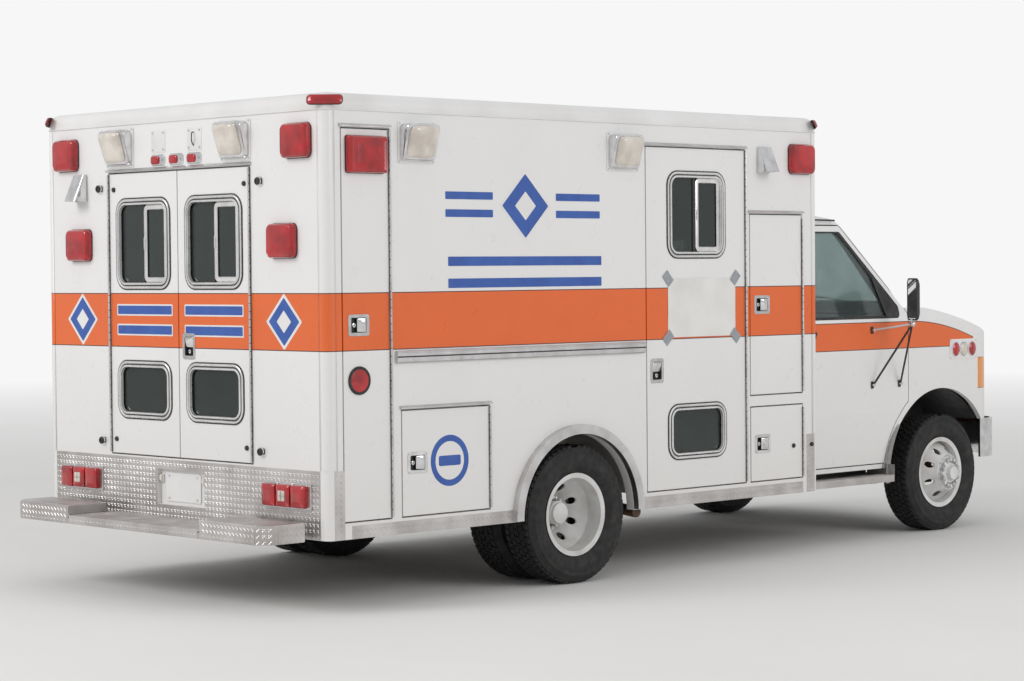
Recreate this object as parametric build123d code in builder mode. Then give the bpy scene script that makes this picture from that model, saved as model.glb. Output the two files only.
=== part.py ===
from build123d import *
import math
import os

# Van-based ambulance: a cutaway van cab and chassis with a box module behind it.
# Millimetres. The front points to -Y, the curb side to -X, the street side to +X, +Z is up.
# The ground is Z 0 and the origin is below the middle of the vehicle.

os.makedirs("parts", exist_ok=True)

# Wheels
tyre_r = 368
tyre_w = 222
tread_w = 176
tyre_belly_r = 290  # where the tyre is widest
rim_r = 222  # outer radius of the rim's lip
rim_w = 172
rim_wall = 7
rim_flange = 5
bead_r = 203
bead_in = 17.5  # from the rim's edge to where the bead's seat ends
disc_offset = 136  # middle of the rim to the disc's mounting face
disc_t = 9
disc_start = 22
hub_face_r = 112
hub_cap_r = 46
hub_cap_l = 30
hub_ring_r = 64
hub_ring_l = 18
rear_hub_l = 80
hand_hole_r = 20
hand_hole_sides = 12
hand_hole_circle_r = 143
lug_circle_r = 82.5
lug_r = 13
lug_l = 26
lug_count = 8
front_track = 1763
dual_spread = 1922  # between the mounting faces of the two rear pairs
spindle_r = 38
running_gap = 0.05
brake_l = 35

# Module, from its rear face to its front
module_w = 2400
wall_t = 55
corner_r = 40
rear_post = 104  # rear face to the rear hatch
rear_hatch_w = 300
hatch_space = 77
low_hatch_w = 592
arch_space = 164  # low hatch to the wheel arch's flare
arch_gap = 65  # tyre to the arch's edge
flare_w = 50
flare_out = 36
entry_space = 62  # the arch's flare to the entry door
entry_w = 815
front_space = 48  # entry door to the front hatches
front_hatch_w = 452
front_post = 150
street_mid_w = 700
street_front_w = 490
skirt_z = 362  # bottom edge of the module's sides
hatch_rise = 88  # bottom edge to the hatches
low_hatch_h = 526
lower_front_h = 421
hatch_gap_h = 74  # between the lower and the upper front hatch
entry_rise = 93
floor_z = 700  # underside of the patient room's floor
floor_t = 50
mat_t = 3
mat_w = 1180
mat_start = 565  # behind the front wall
rail_top_z = 2463  # where the walls end and the roof starts
roof_rise = 85
roof_t = 50
roof_edge_r = 60
tall_hatch_head = 93  # top of the walls down to the rear hatch
upper_hatch_head = 487
entry_head = 124
rear_door_head = 260
housing_gap = 17  # arch's edge to the wheel housing
well_x = 662  # inner wall of the rear wheel housings
seam = 8  # gap round every door
lip = 16  # how far a door's stop reaches behind the door
door_t = 40
liner_t = 12
liner_depth = 460
stop_gap = 6
step_in = 420
step_plate = 16

# Rear doors
rear_door_w = 606
rear_door_z = 716

# Windows of the rear and entry doors
window_w = 474
upper_window_h = 474
lower_window_h = 300
rear_upper_down = 610  # door's top to the upper window's bottom
rear_lower_up = 192  # door's bottom to the lower window's bottom
entry_upper_down = 604
entry_lower_up = 164
window_r = 78
glass_t = 6

# Latches: pockets that their pans sit in
latch_in = 100  # from the door's free edge to the latch's middle
latch_pan_l = 100
latch_pan_w = 76
latch_deep = 24
entry_latch_in = 79
entry_latch_up = 659
rear_latch_in = 83
rear_latch_up = 579

# Plate recess, step and trim
plate_w = 410
plate_h = 184
plate_up = 194
plate_deep = 25
step_depth = 318
step_half = 1100
step_top = 455
step_h = 98
step_block_in = 574  # inner edge of each raised block
step_block_l = 250  # how far each block reaches from the step's rear edge
step_chamfer = 70
step_drop = 50
step_wall = 20
rub_h = 62
rub_out = 20
rub_bevel = 6
rub_z = 1216
rub_past = 36  # past the rear hatch, and past the arch's flare
drip_h = 14
drip_out = 16
drip_gap = 4

# Lamps of the module
warning_w = 246
warning_h = 176
warning_base = 10
warning_lens = 28
warning_taper = 30
hatch_lamp_down = 216
front_lamp_x = 900
scene_w = 246
scene_h = 212
scene_high_out = 85
scene_low_out = 30
tail_w = 352
tail_h = 128
tail_out = 45
tail_x = 890
tail_up = 208

# Cab
cab_gap = 10
cab_back = 1485  # front axle to the cab's back
cab_half = 1007
cab_t = 30
cab_bottom = 430
cab_sill = 464
cab_crease = 777
cab_tuck = 22
cab_belt = 1335
roof_tuck = 117  # how far the roof's edge lies inside the widest line
cab_roof_edge = 1960
cab_roof_top = 2045
roof_corner_r = 90
cab_floor_z = 700
cab_floor_t = 30
nose_y = 620  # front axle to the middle of the nose
nose_bow = 45
nose_r = 262
nose_sill = 690
arch_shift = 37  # the arch's middle lies this far behind the front axle
arch_z = 375
front_arch_r = 530
fender_strip = 48
fender_cut = 9
fender_top = 500  # above the arch's middle
door_back = 1397  # front axle to the cab door's rear edge
door_front = 382  # front axle to the cab door's front edge above the arch
door_pillar_y = 425
door_top = 1925
door_corner_drop = 44
cowl_z = 1415
cowl_y = 256
pillar_rise = 14
screen_rise = 560
screen_run = 585
screen_bow = 150
screen_low_in = 137
screen_low_z = 1452
screen_high_in = 207
screen_high_z = 1935
screen_r = 60
glass_pillar_y = 462
window_top = 1890
window_bottom = 1355
window_back = 1320
cab_window_r = 30
glass_in = 10
edge_slant = 0.15
edge_spare = 43
hood_in = 207
hood_lip_z = 1125
hood_crown_z = 1352
hood_crown_y = 130
hood_front_y = 500  # front axle to where the hood's top starts to fall
hood_front_z = 1235
hood_seam = 9
hood_back_in = 100
lip_back = 28
lip_rise = 55
lip_drop = 35
screen_foot = 60
header_drop = 15
roof_slant = 5
cab_seam = 7

# Nose: grille, lamps and bumper
grille_z = 770
grille_top = 1075
grille_side_in = 147
grille_in = 8
grille_r = 30
slot_h = 26
slot_pitch = 46
slot_count = 5
slot_space = 40
slot_end = 44  # a slot's outer end to the headlamp
lamp_w = 232
lamp_h = 150
lamp_edge = 24
lamp_seam = 3
marker_z = 893
marker_top = 1087
marker_in = 133
bumper_in = 17
front_overhang = 727  # front axle to the bumper's foremost point
bumper_z = 443
bumper_h = 247
bumper_bow = 54
bumper_r = 250
bumper_wrap = 225
bumper_t = 14

# Inside of the cab and what hangs on it
liner_in = 560
liner_gap = 12
floor_in = 52
floor_front_back = 378
sill_w = 40
firewall_t = 18
cover_w = 620
cover_l = 700
cover_top = 1010
cover_t = 15
mount_r = 32
mount_back = 318
mount_end = 135
mirror_out = 208
mirror_y_back = 607
mirror_z = 1341
mirror_w = 190
mirror_h = 263
mirror_t = 45
mirror_turn = math.radians(25)
mirror_foot_z = 950
mirror_feet = (473, 742)
foot_l = 60
foot_h = 34
foot_t = 16
arm_r = 11
ball_r = 16
seat_x = 560
seat_w = 460
seat_y_back = 800
dash_in = 107
dash_top = 1370
dash_low = 1040
dash_deep = 290
column_z = 1130
column_r = 28
column_l = 230
column_start = 200
steer_r = 195
steer_rim = 23
board_z = 350
board_t = 42
board_w = 230
board_past = 48
board_gap = 20

# Chassis
rail_spread = 864  # between the centre lines of the two frame rails
rail_w = 75
rail_h = 150
rail_z = 470  # underside of the frame rails
rail_wall = 8
rail_inset = 140  # bumper's foremost point to the rails' front ends
cross_w = 80
cross_h = 45
spring_w = 75
spring_t = 42
spring_half = 690
spring_rise = 110
spring_gap = 5
axle_r = 52
diff_r = 150
diff_l = 150
pinion_r = 55
pinion_l = 250
tank_l = 740
tank_w = 700
tank_h = 160
tank_back = 420
tank_r = 35
beam_drop = 60
beam_h = 70
beam_half = 480
steer_pin_x = 800
steer_pin_r = 17
boss_r = 38
boss_h = 70
yoke_t = 30
yoke_gap = 5
engine_w = 470
engine_l = 800
engine_h = 430
engine_back = 60
engine_lift = 12
gearbox_r = 92
gearbox_y_back = 460
shaft_y_back = 1020
shaft_z = 600
shaft_r = 38
shaft_bend = 700  # rear axle to the shaft's middle bearing

# Places that follow from the sizes above
arch_r = tyre_r + arch_gap
rear_overhang = rear_post + rear_hatch_w + hatch_space + low_hatch_w + arch_space + flare_w + arch_r
entry_start = rear_overhang + arch_r + flare_w + entry_space
front_hatch_start = entry_start + entry_w + front_space
module_l = front_hatch_start + front_hatch_w + front_post
wheelbase = module_l - rear_overhang + cab_gap + cab_back
length = front_overhang + wheelbase + rear_overhang + step_depth
y_back = length / 2
y_face = y_back - step_depth
y_module = y_face - module_l
y_rear_axle = y_face - rear_overhang
y_front_axle = y_rear_axle - wheelbase
y_bumper = y_front_axle - front_overhang
y_nose = y_front_axle - nose_y
y_cab = y_module - cab_gap
y_middle = y_face - module_l / 2
half_w = module_w / 2
inner_x = half_w - wall_t
floor_top = floor_z + floor_t
rail_x = rail_spread / 2
rail_front = y_bumper + rail_inset
rail_back = y_face - wall_t - 5
housing_r = arch_r + housing_gap
housing_top = tyre_r + housing_r
hub_x = dual_spread / 2
sides = (("curb", -1), ("street", 1))

hatch_z = skirt_z + hatch_rise
entry_z = skirt_z + entry_rise
entry_top = rail_top_z - entry_head
rear_door_top = rail_top_z - rear_door_head
rear_window_x = (seam / 2 + rear_door_w) / 2
tall_hatch_top = rail_top_z - tall_hatch_head
upper_hatch_top = rail_top_z - upper_hatch_head
lower_front_top = entry_z + lower_front_h
low_start = rear_post + rear_hatch_w + hatch_space

cab_roof_half = cab_half - roof_tuck
edge_deep = roof_tuck + cab_t + edge_spare
hood_half = cab_half - hood_in
grille_half = cab_half - grille_side_in
slot_w = grille_half - lamp_edge - lamp_w - slot_end - slot_space / 2
floor_half = cab_half - floor_in
dash_half = cab_half - dash_in
bumper_half = cab_half - bumper_in
screen_low_half = cab_half - screen_low_in
screen_high_half = cab_half - screen_high_in
mirror_x = cab_half + mirror_out
board_out = cab_half + board_past
screen_slope = screen_run / screen_rise
screen_long = math.hypot(screen_run, screen_rise)
arch_y = y_front_axle + arch_shift
hood_back = y_front_axle + cowl_y - hood_back_in
pillar_z = cowl_z + pillar_rise
floor_front = y_front_axle + floor_front_back
floor_low = cab_floor_z - cab_floor_t
liner_out_r = front_arch_r + liner_gap
liner_back = arch_y + math.sqrt(liner_out_r**2 - (floor_low - arch_z) ** 2) + 5
firewall_low = arch_z + math.sqrt(liner_out_r**2 - (floor_front - arch_y) ** 2) + 2
seat_y = y_front_axle + seat_y_back
mirror_y = y_front_axle + mirror_y_back
board_front = arch_y + front_arch_r + board_gap

# Doors and hatches of the sides: starts are measured forward from the module's rear face
# name, side sign, start, width, bottom, top
side_doors = (
    ("hatch_curb_rear", -1, rear_post, rear_hatch_w, hatch_z, tall_hatch_top),
    ("hatch_curb_low", -1, low_start, low_hatch_w, hatch_z, hatch_z + low_hatch_h),
    ("entry_door", -1, entry_start, entry_w, entry_z, entry_top),
    ("hatch_curb_front_upper", -1, front_hatch_start, front_hatch_w, lower_front_top + hatch_gap_h, upper_hatch_top),
    ("hatch_curb_front_lower", -1, front_hatch_start, front_hatch_w, entry_z, lower_front_top),
    ("hatch_street_rear", 1, rear_post, low_start + low_hatch_w - rear_post, hatch_z, hatch_z + low_hatch_h),
    ("hatch_street_mid", 1, entry_start, street_mid_w, hatch_z, hatch_z + low_hatch_h),
    ("hatch_street_front", 1, module_l - front_post - street_front_w, street_front_w, hatch_z, upper_hatch_top),
)
out_ways = {"rear": (0, 1, 0), "curb": (-1, 0, 0), "street": (1, 0, 0), "front": (0, -1, 0)}


def finish(piece, name):
    piece.part.label = name
    export_step(piece.part, "parts/" + name + ".step")


def side_plane(x):
    """Plane of a side, seen along +X: first axis +Y, second axis up."""
    return Plane.YZ.offset(x)


def across_plane(y):
    """Plane square to the vehicle's length at y, drawn in X and Z; its extrusions run towards the front."""
    return Plane.XZ.offset(-y)


def skin_point(face, along, z):
    """Point on the module's skin: along is x on the rear and front, and the distance from the rear on the sides."""
    if face == "rear":
        return (along, y_face, z)
    if face == "front":
        return (along, y_module, z)
    return (out_ways[face][0] * half_w, y_face - along, z)


def skin_plane(face, along, z):
    """Plane on the skin that looks outwards, its second axis up."""
    out = Vector(out_ways[face])
    return Plane(origin=skin_point(face, along, z), x_dir=Vector(0, 0, 1).cross(out), z_dir=out)


def profile_plane(face, along, z):
    """Plane square to the skin: its first axis points outwards, its second one up."""
    out = Vector(out_ways[face])
    return Plane(origin=skin_point(face, along, z), x_dir=out, z_dir=out.cross(Vector(0, 0, 1)))


# Frame: two channel rails with a spacer below the module and a bracket at each spring's end
spring_x = rail_x + rail_w / 2 + spring_w / 2 + spring_gap
bracket_l = 60
with BuildPart() as frame:
    for x in (-rail_x, rail_x):
        with BuildSketch(across_plane(rail_back)):
            with Locations((x, rail_z + rail_h / 2)):
                Rectangle(rail_w, rail_h)
            open_side = rail_wall if x < 0 else -rail_wall
            with Locations((x + open_side, rail_z + rail_h / 2)):
                Rectangle(rail_w, rail_h - 2 * rail_wall, mode=Mode.SUBTRACT)
        extrude(amount=rail_back - rail_front)
        with BuildSketch(Plane.XY.offset(rail_z + rail_h)):
            with Locations((x, y_middle)):
                Rectangle(rail_w, module_l - 2 * wall_t - 10)
        extrude(amount=floor_z - rail_z - rail_h)
    for x in (-spring_x, spring_x):
        for y in (-spring_half - bracket_l / 2, spring_half + bracket_l / 2):
            with BuildSketch(Plane.XY.offset(rail_z)):
                with Locations((x, y_rear_axle + y)):
                    Rectangle(spring_w + 2 * spring_gap, bracket_l)
            extrude(amount=rail_h)
finish(frame, "frame_rails")

# Crossmembers between the rails
bend_y = y_rear_axle - shaft_bend
cross_bend = bend_y - shaft_r - cross_w
cross_gearbox = y_front_axle + gearbox_y_back + 130
cross_places = (
    rail_front + cross_w / 2,
    cross_gearbox,
    (cross_gearbox + cross_bend) / 2,
    cross_bend,
    y_rear_axle + spring_half / 2 + 140,
    rail_back - cross_w / 2,
)
with BuildPart() as crossmembers:
    for y in cross_places:
        with BuildSketch(Plane.XY.offset(rail_z + rail_wall)):
            with Locations((0, y)):
                Rectangle(rail_spread + rail_w - 2 * rail_wall, cross_w)
        extrude(amount=cross_h)
finish(crossmembers, "crossmembers")

# Rear axle: a tube between the hubs, the differential with its pinion, and two leaf springs
tube_half = hub_x - 90
spindle_half = hub_x + 40
spring_low = tyre_r + axle_r - 4
with BuildPart() as rear_axle:
    with BuildSketch(side_plane(-tube_half)):
        with Locations((y_rear_axle, tyre_r)):
            Circle(axle_r)
    extrude(amount=2 * tube_half)
    with BuildSketch(side_plane(-spindle_half)):
        with Locations((y_rear_axle, tyre_r)):
            Circle(spindle_r)
    extrude(amount=2 * spindle_half)
    with BuildSketch(side_plane(-diff_l / 2)):
        with Locations((y_rear_axle, tyre_r)):
            Circle(diff_r)
    extrude(amount=diff_l)
    chamfer(rear_axle.edges().filter_by(lambda e: abs(e.radius - diff_r) < 1 if e.geom_type == GeomType.CIRCLE else False), 35)
    with BuildSketch(across_plane(y_rear_axle)):
        with Locations((0, tyre_r)):
            Circle(pinion_r + 25)
    extrude(amount=pinion_l, taper=6)
    for x in (-spring_x, spring_x):
        with BuildSketch(side_plane(x - spring_w / 2)):
            with BuildLine():
                ends = ((-spring_half, spring_rise), (0, 0), (spring_half, spring_rise))
                under = [(y_rear_axle + along, spring_low + rise) for along, rise in ends]
                over = [(y, z + spring_t) for y, z in under]
                ThreePointArc(under[0], under[1], under[2])
                Line(under[2], over[2])
                ThreePointArc(over[2], over[1], over[0])
                Line(over[0], under[0])
            make_face()
        extrude(amount=spring_w)
finish(rear_axle, "rear_axle")

# Front axle: a beam that drops in the middle and carries a steering pin at each end
beam_z = tyre_r - beam_drop
beam_end = steer_pin_x - 10
beam_ramp = beam_end - 110
pin_half = boss_h / 2 + yoke_t + yoke_gap + 15
with BuildPart() as front_axle:
    with BuildSketch(across_plane(y_front_axle - beam_h / 2)):
        with BuildLine():
            Polyline(
                (-beam_end, tyre_r - boss_h / 2),
                (-beam_end, tyre_r + boss_h / 2),
                (-beam_ramp, tyre_r + boss_h / 2),
                (-beam_half, beam_z + beam_h / 2 - 10),
                (beam_half, beam_z + beam_h / 2 - 10),
                (beam_ramp, tyre_r + boss_h / 2),
                (beam_end, tyre_r + boss_h / 2),
                (beam_end, tyre_r - boss_h / 2),
                (beam_ramp, tyre_r - boss_h / 2),
                (beam_half - 50, beam_z - beam_h / 2 - 10),
                (50 - beam_half, beam_z - beam_h / 2 - 10),
                (-beam_ramp, tyre_r - boss_h / 2),
                close=True,
            )
        make_face()
    extrude(amount=-beam_h)
    for x in (-steer_pin_x, steer_pin_x):
        with BuildSketch(Plane.XY.offset(tyre_r - boss_h / 2)):
            with Locations((x, y_front_axle)):
                Circle(boss_r)
        extrude(amount=boss_h)
        with BuildSketch(Plane.XY.offset(tyre_r - pin_half)):
            with Locations((x, y_front_axle)):
                Circle(steer_pin_r)
        extrude(amount=2 * pin_half)
        with BuildSketch(Plane.XY.offset(beam_z)):
            with Locations((math.copysign(rail_x, x), y_front_axle)):
                Rectangle(60, 60)
        extrude(amount=rail_z - beam_z)
finish(front_axle, "front_axle")

# Knuckles: a fork round the axle's end, with the wheel's spindle
spindle_x = front_track / 2 + disc_offset + disc_t + 10
yoke_l = 70
yoke_wall = 24
for side, s in sides:
    with BuildPart() as knuckle:
        for z in (tyre_r - boss_h / 2 - yoke_gap - yoke_t, tyre_r + boss_h / 2 + yoke_gap):
            with BuildSketch(Plane.XY.offset(z)):
                with Locations((s * steer_pin_x, y_front_axle)):
                    Circle(boss_r)
                with Locations((s * (steer_pin_x + yoke_l / 2), y_front_axle)):
                    Rectangle(yoke_l, 2 * boss_r)
            extrude(amount=yoke_t)
        with BuildSketch(Plane.XY.offset(tyre_r - boss_h / 2 - yoke_gap - yoke_t)):
            with Locations((s * (steer_pin_x + yoke_l - yoke_wall / 2), y_front_axle)):
                Rectangle(yoke_wall, 2 * boss_r)
        extrude(amount=boss_h + 2 * yoke_gap + 2 * yoke_t)
        with BuildSketch(side_plane(s * (steer_pin_x + yoke_l - 10))):
            with Locations((y_front_axle, tyre_r)):
                Circle(spindle_r)
        extrude(amount=s * (spindle_x - steer_pin_x - yoke_l + 10))
        with BuildSketch(Plane.XY.offset(tyre_r - 2 * pin_half)):
            with Locations((s * steer_pin_x, y_front_axle)):
                Circle(steer_pin_r + running_gap)
        extrude(amount=4 * pin_half, mode=Mode.SUBTRACT)
    finish(knuckle, "knuckle_" + side)


def wheel_plane(x, y, s):
    """Plane across a wheel: its first axis points out of the vehicle, its second one up."""
    return Plane(origin=(x, y, tyre_r), x_dir=(s, 0, 0), z_dir=(0, -s, 0))


def face_plane(x, y, s):
    """Plane square to a wheel's axle, looking out of the vehicle."""
    return Plane(origin=(x, y, tyre_r), x_dir=(0, 1, 0), z_dir=(s, 0, 0))


def rim_solid(x, y, s, way, holes=True):
    """Steel rim: way 1 has its disc towards the outside, way -1 towards the inside."""
    half = rim_w / 2
    inside = bead_r - rim_wall
    axle = Axis((x, y, tyre_r), (1, 0, 0))
    with BuildPart() as rim:
        with BuildSketch(wheel_plane(x, y, s)):
            with BuildLine():
                Polyline(
                    (-half, rim_r),
                    (-half + bead_in, bead_r),
                    (half - bead_in, bead_r),
                    (half, rim_r),
                    (half - rim_flange, inside),
                    (-half + rim_flange, inside),
                    close=True,
                )
            make_face()
        revolve(axis=axle)
        start = disc_offset if way > 0 and y == y_front_axle else disc_offset - disc_t
        with BuildSketch(wheel_plane(x, y, s * way)):
            with BuildLine():
                Polyline(
                    (disc_start - disc_t, inside + 2),
                    (disc_start, inside + 2),
                    (start + disc_t, hub_face_r),
                    (start + disc_t, spindle_r + running_gap),
                    (start, spindle_r + running_gap),
                    (start, hub_face_r - 4),
                    close=True,
                )
            make_face()
        revolve(axis=axle)
        if holes:
            with BuildSketch(face_plane(x, y, s * way)):
                with PolarLocations(hand_hole_circle_r, lug_count, start_angle=180 / lug_count):
                    RegularPolygon(hand_hole_r, hand_hole_sides)
            extrude(amount=start + 40, mode=Mode.SUBTRACT)
    return rim.part


def tyre_solid(x, y, s):
    """Tyre seated between the lips of its rim."""
    half = tyre_w / 2
    seat = rim_w / 2 - bead_in - 0.5
    tread = tread_w / 2
    with BuildPart() as tyre:
        with BuildSketch(wheel_plane(x, y, s)):
            with BuildLine():
                Polyline(
                    (-seat, bead_r),
                    (-half, tyre_belly_r),
                    (-tread, tyre_r),
                    (tread, tyre_r),
                    (half, tyre_belly_r),
                    (seat, bead_r),
                    close=True,
                )
            make_face()
        revolve(axis=Axis((x, y, tyre_r), (1, 0, 0)))
    return tyre.part


# Front wheels: a dished rim with its hub and lugs, and the tyre on it
for side, s in sides:
    front_x = s * front_track / 2
    face_x = front_x + s * (disc_offset + disc_t)
    with BuildPart() as front_rim:
        add(rim_solid(front_x, y_front_axle, s, 1))
        with BuildSketch(face_plane(front_x + s * disc_offset, y_front_axle, s)):
            Circle(hub_face_r - 14)
            Circle(spindle_r + running_gap, mode=Mode.SUBTRACT)
        extrude(amount=-brake_l)
        with BuildSketch(face_plane(face_x, y_front_axle, s)):
            Circle(hub_ring_r)
            Circle(spindle_r + running_gap, mode=Mode.SUBTRACT)
        extrude(amount=hub_ring_l)
        with BuildSketch(face_plane(face_x + s * hub_ring_l, y_front_axle, s)):
            Circle(hub_cap_r)
        extrude(amount=hub_cap_l, taper=8)
        with BuildSketch(face_plane(face_x, y_front_axle, s)):
            with PolarLocations(lug_circle_r, lug_count):
                RegularPolygon(lug_r, 6)
        extrude(amount=lug_l)
    finish(front_rim, "front_rim_" + side)
    with BuildPart() as front_tyre:
        add(tyre_solid(front_x, y_front_axle, s))
    finish(front_tyre, "front_tyre_" + side)

# Rear wheels: two rims bolted face to face on each hub, and their two tyres
for side, s in sides:
    outer_x = s * (hub_x + disc_offset)
    inner_tyre_x = s * (hub_x - disc_offset)
    face_x = s * (hub_x + disc_t)
    with BuildPart() as rear_rims:
        add(rim_solid(outer_x, y_rear_axle, s, -1))
        add(rim_solid(inner_tyre_x, y_rear_axle, s, 1, holes=False))
        with BuildSketch(face_plane(face_x, y_rear_axle, s)):
            Circle(hub_ring_r)
            Circle(spindle_r + running_gap, mode=Mode.SUBTRACT)
        extrude(amount=rear_hub_l)
        with BuildSketch(face_plane(face_x + s * rear_hub_l, y_rear_axle, s)):
            Circle(hub_ring_r - 6)
        extrude(amount=hub_ring_l, taper=10)
        with BuildSketch(face_plane(face_x, y_rear_axle, s)):
            with PolarLocations(lug_circle_r, lug_count):
                RegularPolygon(lug_r, 6)
        extrude(amount=lug_l + 14)
    finish(rear_rims, "rear_rims_" + side)
    with BuildPart() as rear_tyres:
        add(tyre_solid(outer_x, y_rear_axle, s))
        add(tyre_solid(inner_tyre_x, y_rear_axle, s))
    finish(rear_tyres, "rear_tyres_" + side)

# Engine, gearbox and the shaft in its two lengths down to the pinion
engine_z = rail_z + rail_wall + cross_h + engine_lift
gearbox_y = y_front_axle + gearbox_y_back
shaft_y = y_front_axle + shaft_y_back
with BuildPart() as driveline:
    with BuildSketch(Plane.XY.offset(engine_z)):
        with Locations((0, y_front_axle + engine_back)):
            Rectangle(engine_w, engine_l)
    extrude(amount=engine_h)
    for x in (-rail_x + 100, rail_x - 100):
        with BuildSketch(Plane.XY.offset(rail_z + rail_h)):
            with Locations((x, y_front_axle + engine_back)):
                Rectangle(260, 90)
        extrude(amount=30)
    with BuildSketch(across_plane(gearbox_y)):
        with Locations((0, shaft_z + 30)):
            Circle(gearbox_r)
    extrude(amount=gearbox_y - shaft_y)
    with BuildSketch(across_plane(shaft_y)):
        with Locations((0, shaft_z)):
            Circle(shaft_r)
    extrude(amount=shaft_y - bend_y)
    slope_start = Vector(0, bend_y - shaft_r, shaft_z)
    slope_end = Vector(0, y_rear_axle - pinion_l - 30, tyre_r + 25)
    slope = slope_end - slope_start
    with BuildSketch(Plane(origin=slope_start, z_dir=slope)):
        Circle(shaft_r)
    extrude(amount=slope.length)
finish(driveline, "driveline")

# Fuel tank below the rails behind the rear axle
with BuildPart() as fuel_tank:
    with BuildSketch(Plane.XY.offset(rail_z + rail_wall - tank_h)):
        with Locations((0, y_rear_axle + tank_back + tank_l / 2)):
            Rectangle(tank_w, tank_l)
    extrude(amount=tank_h)
    fillet(fuel_tank.edges().filter_by(Axis.Y), radius=tank_r)
finish(fuel_tank, "fuel_tank")

# Module floor, notched over the rear wheels and at the entry step, with a mat along the aisle
entry_y = y_face - entry_start - entry_w / 2
mat_back = y_face - wall_t - 15
mat_front = y_module + wall_t + mat_start
with BuildPart() as module_floor:
    with BuildSketch(Plane.XY.offset(floor_z)):
        with Locations((0, y_middle)):
            Rectangle(2 * inner_x, module_l - 2 * wall_t)
        for x in (-inner_x, inner_x):
            with Locations((x, y_rear_axle)):
                Rectangle(2 * (inner_x - well_x), 2 * housing_r, mode=Mode.SUBTRACT)
        with Locations((-inner_x, entry_y)):
            Rectangle(2 * step_in, entry_w + 2 * liner_t, mode=Mode.SUBTRACT)
        for name, s, start, width, low, high in side_doors:
            if name != "entry_door":
                with Locations((s * inner_x, y_face - start - width / 2)):
                    Rectangle(2 * liner_depth, width - 2 * lip + 2 * liner_t, mode=Mode.SUBTRACT)
    extrude(amount=floor_t)
    with BuildSketch(Plane.XY.offset(floor_top)):
        with Locations((0, (mat_front + mat_back) / 2)):
            Rectangle(mat_w, mat_back - mat_front)
    extrude(amount=mat_t)
    step_x = -inner_x + step_in / 2
    with BuildSketch(Plane.XY.offset(entry_z - step_plate)):
        with Locations((step_x, entry_y)):
            Rectangle(step_in, entry_w + 2 * liner_t)
    extrude(amount=floor_top - entry_z + step_plate)
    with BuildSketch(Plane.XY.offset(entry_z)):
        with Locations((step_x - liner_t, entry_y)):
            Rectangle(step_in, entry_w)
    extrude(amount=floor_top - entry_z, mode=Mode.SUBTRACT)
finish(module_floor, "module_floor")

# Module roof: a hollow lid with a rounded edge rail
with BuildPart() as module_roof:
    with BuildSketch(Plane.XY.offset(rail_top_z)):
        with Locations((0, y_middle)):
            RectangleRounded(module_w, module_l, corner_r)
    extrude(amount=roof_rise)
    fillet(module_roof.faces().sort_by(Axis.Z)[-1].edges(), radius=roof_edge_r)
    with BuildSketch(Plane.XY.offset(rail_top_z)):
        with Locations((0, y_middle)):
            Rectangle(2 * inner_x, module_l - 2 * wall_t)
    extrude(amount=roof_rise - roof_t, mode=Mode.SUBTRACT)
finish(module_roof, "module_roof")

# Side walls with their openings, each with a stop behind its door, and the wheel arches
for side, s in sides:
    outer = s * half_w
    with BuildPart() as wall:
        with BuildSketch(side_plane(outer)):
            with Locations((y_middle, (skirt_z + rail_top_z) / 2)):
                Rectangle(module_l, rail_top_z - skirt_z)
            with Locations((y_rear_axle, tyre_r)):
                Circle(arch_r, mode=Mode.SUBTRACT)
        extrude(amount=-s * wall_t)
        for end in (0, -1):
            upright = wall.edges().filter_by(Axis.Z).filter_by(lambda e: abs(e.center().X - outer) < 1)
            fillet(upright.sort_by(Axis.Y)[end], radius=corner_r)
        for name, door_side, start, width, low, high in side_doors:
            if door_side != s:
                continue
            middle = (y_face - start - width / 2, (low + high) / 2)
            with BuildSketch(side_plane(outer)):
                with Locations(middle):
                    Rectangle(width + 2 * seam, high - low + 2 * seam)
            extrude(amount=-s * (door_t + stop_gap), mode=Mode.SUBTRACT)
            with BuildSketch(side_plane(outer)):
                with Locations(middle):
                    Rectangle(width - 2 * lip, high - low - 2 * lip)
            extrude(amount=-s * wall_t, mode=Mode.SUBTRACT)
    finish(wall, "module_wall_" + side)

# Rear wall with the doorway and the plate's recess
door_mid_z = (rear_door_z + rear_door_top) / 2
door_h = rear_door_top - rear_door_z
with BuildPart() as wall_rear:
    with BuildSketch(across_plane(y_face)):
        with Locations((0, (skirt_z + rail_top_z) / 2)):
            Rectangle(2 * inner_x, rail_top_z - skirt_z)
    extrude(amount=wall_t)
    with BuildSketch(across_plane(y_face)):
        with Locations((0, door_mid_z)):
            Rectangle(2 * rear_door_w + 2 * seam, door_h + 2 * seam)
    extrude(amount=door_t + stop_gap, mode=Mode.SUBTRACT)
    with BuildSketch(across_plane(y_face)):
        with Locations((0, door_mid_z)):
            Rectangle(2 * rear_door_w - 2 * lip, door_h - 2 * lip)
    extrude(amount=wall_t, mode=Mode.SUBTRACT)
    with BuildSketch(across_plane(y_face)):
        with Locations((0, skirt_z + plate_up)):
            Rectangle(plate_w, plate_h)
    extrude(amount=plate_deep, mode=Mode.SUBTRACT)
finish(wall_rear, "module_wall_rear")

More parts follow.
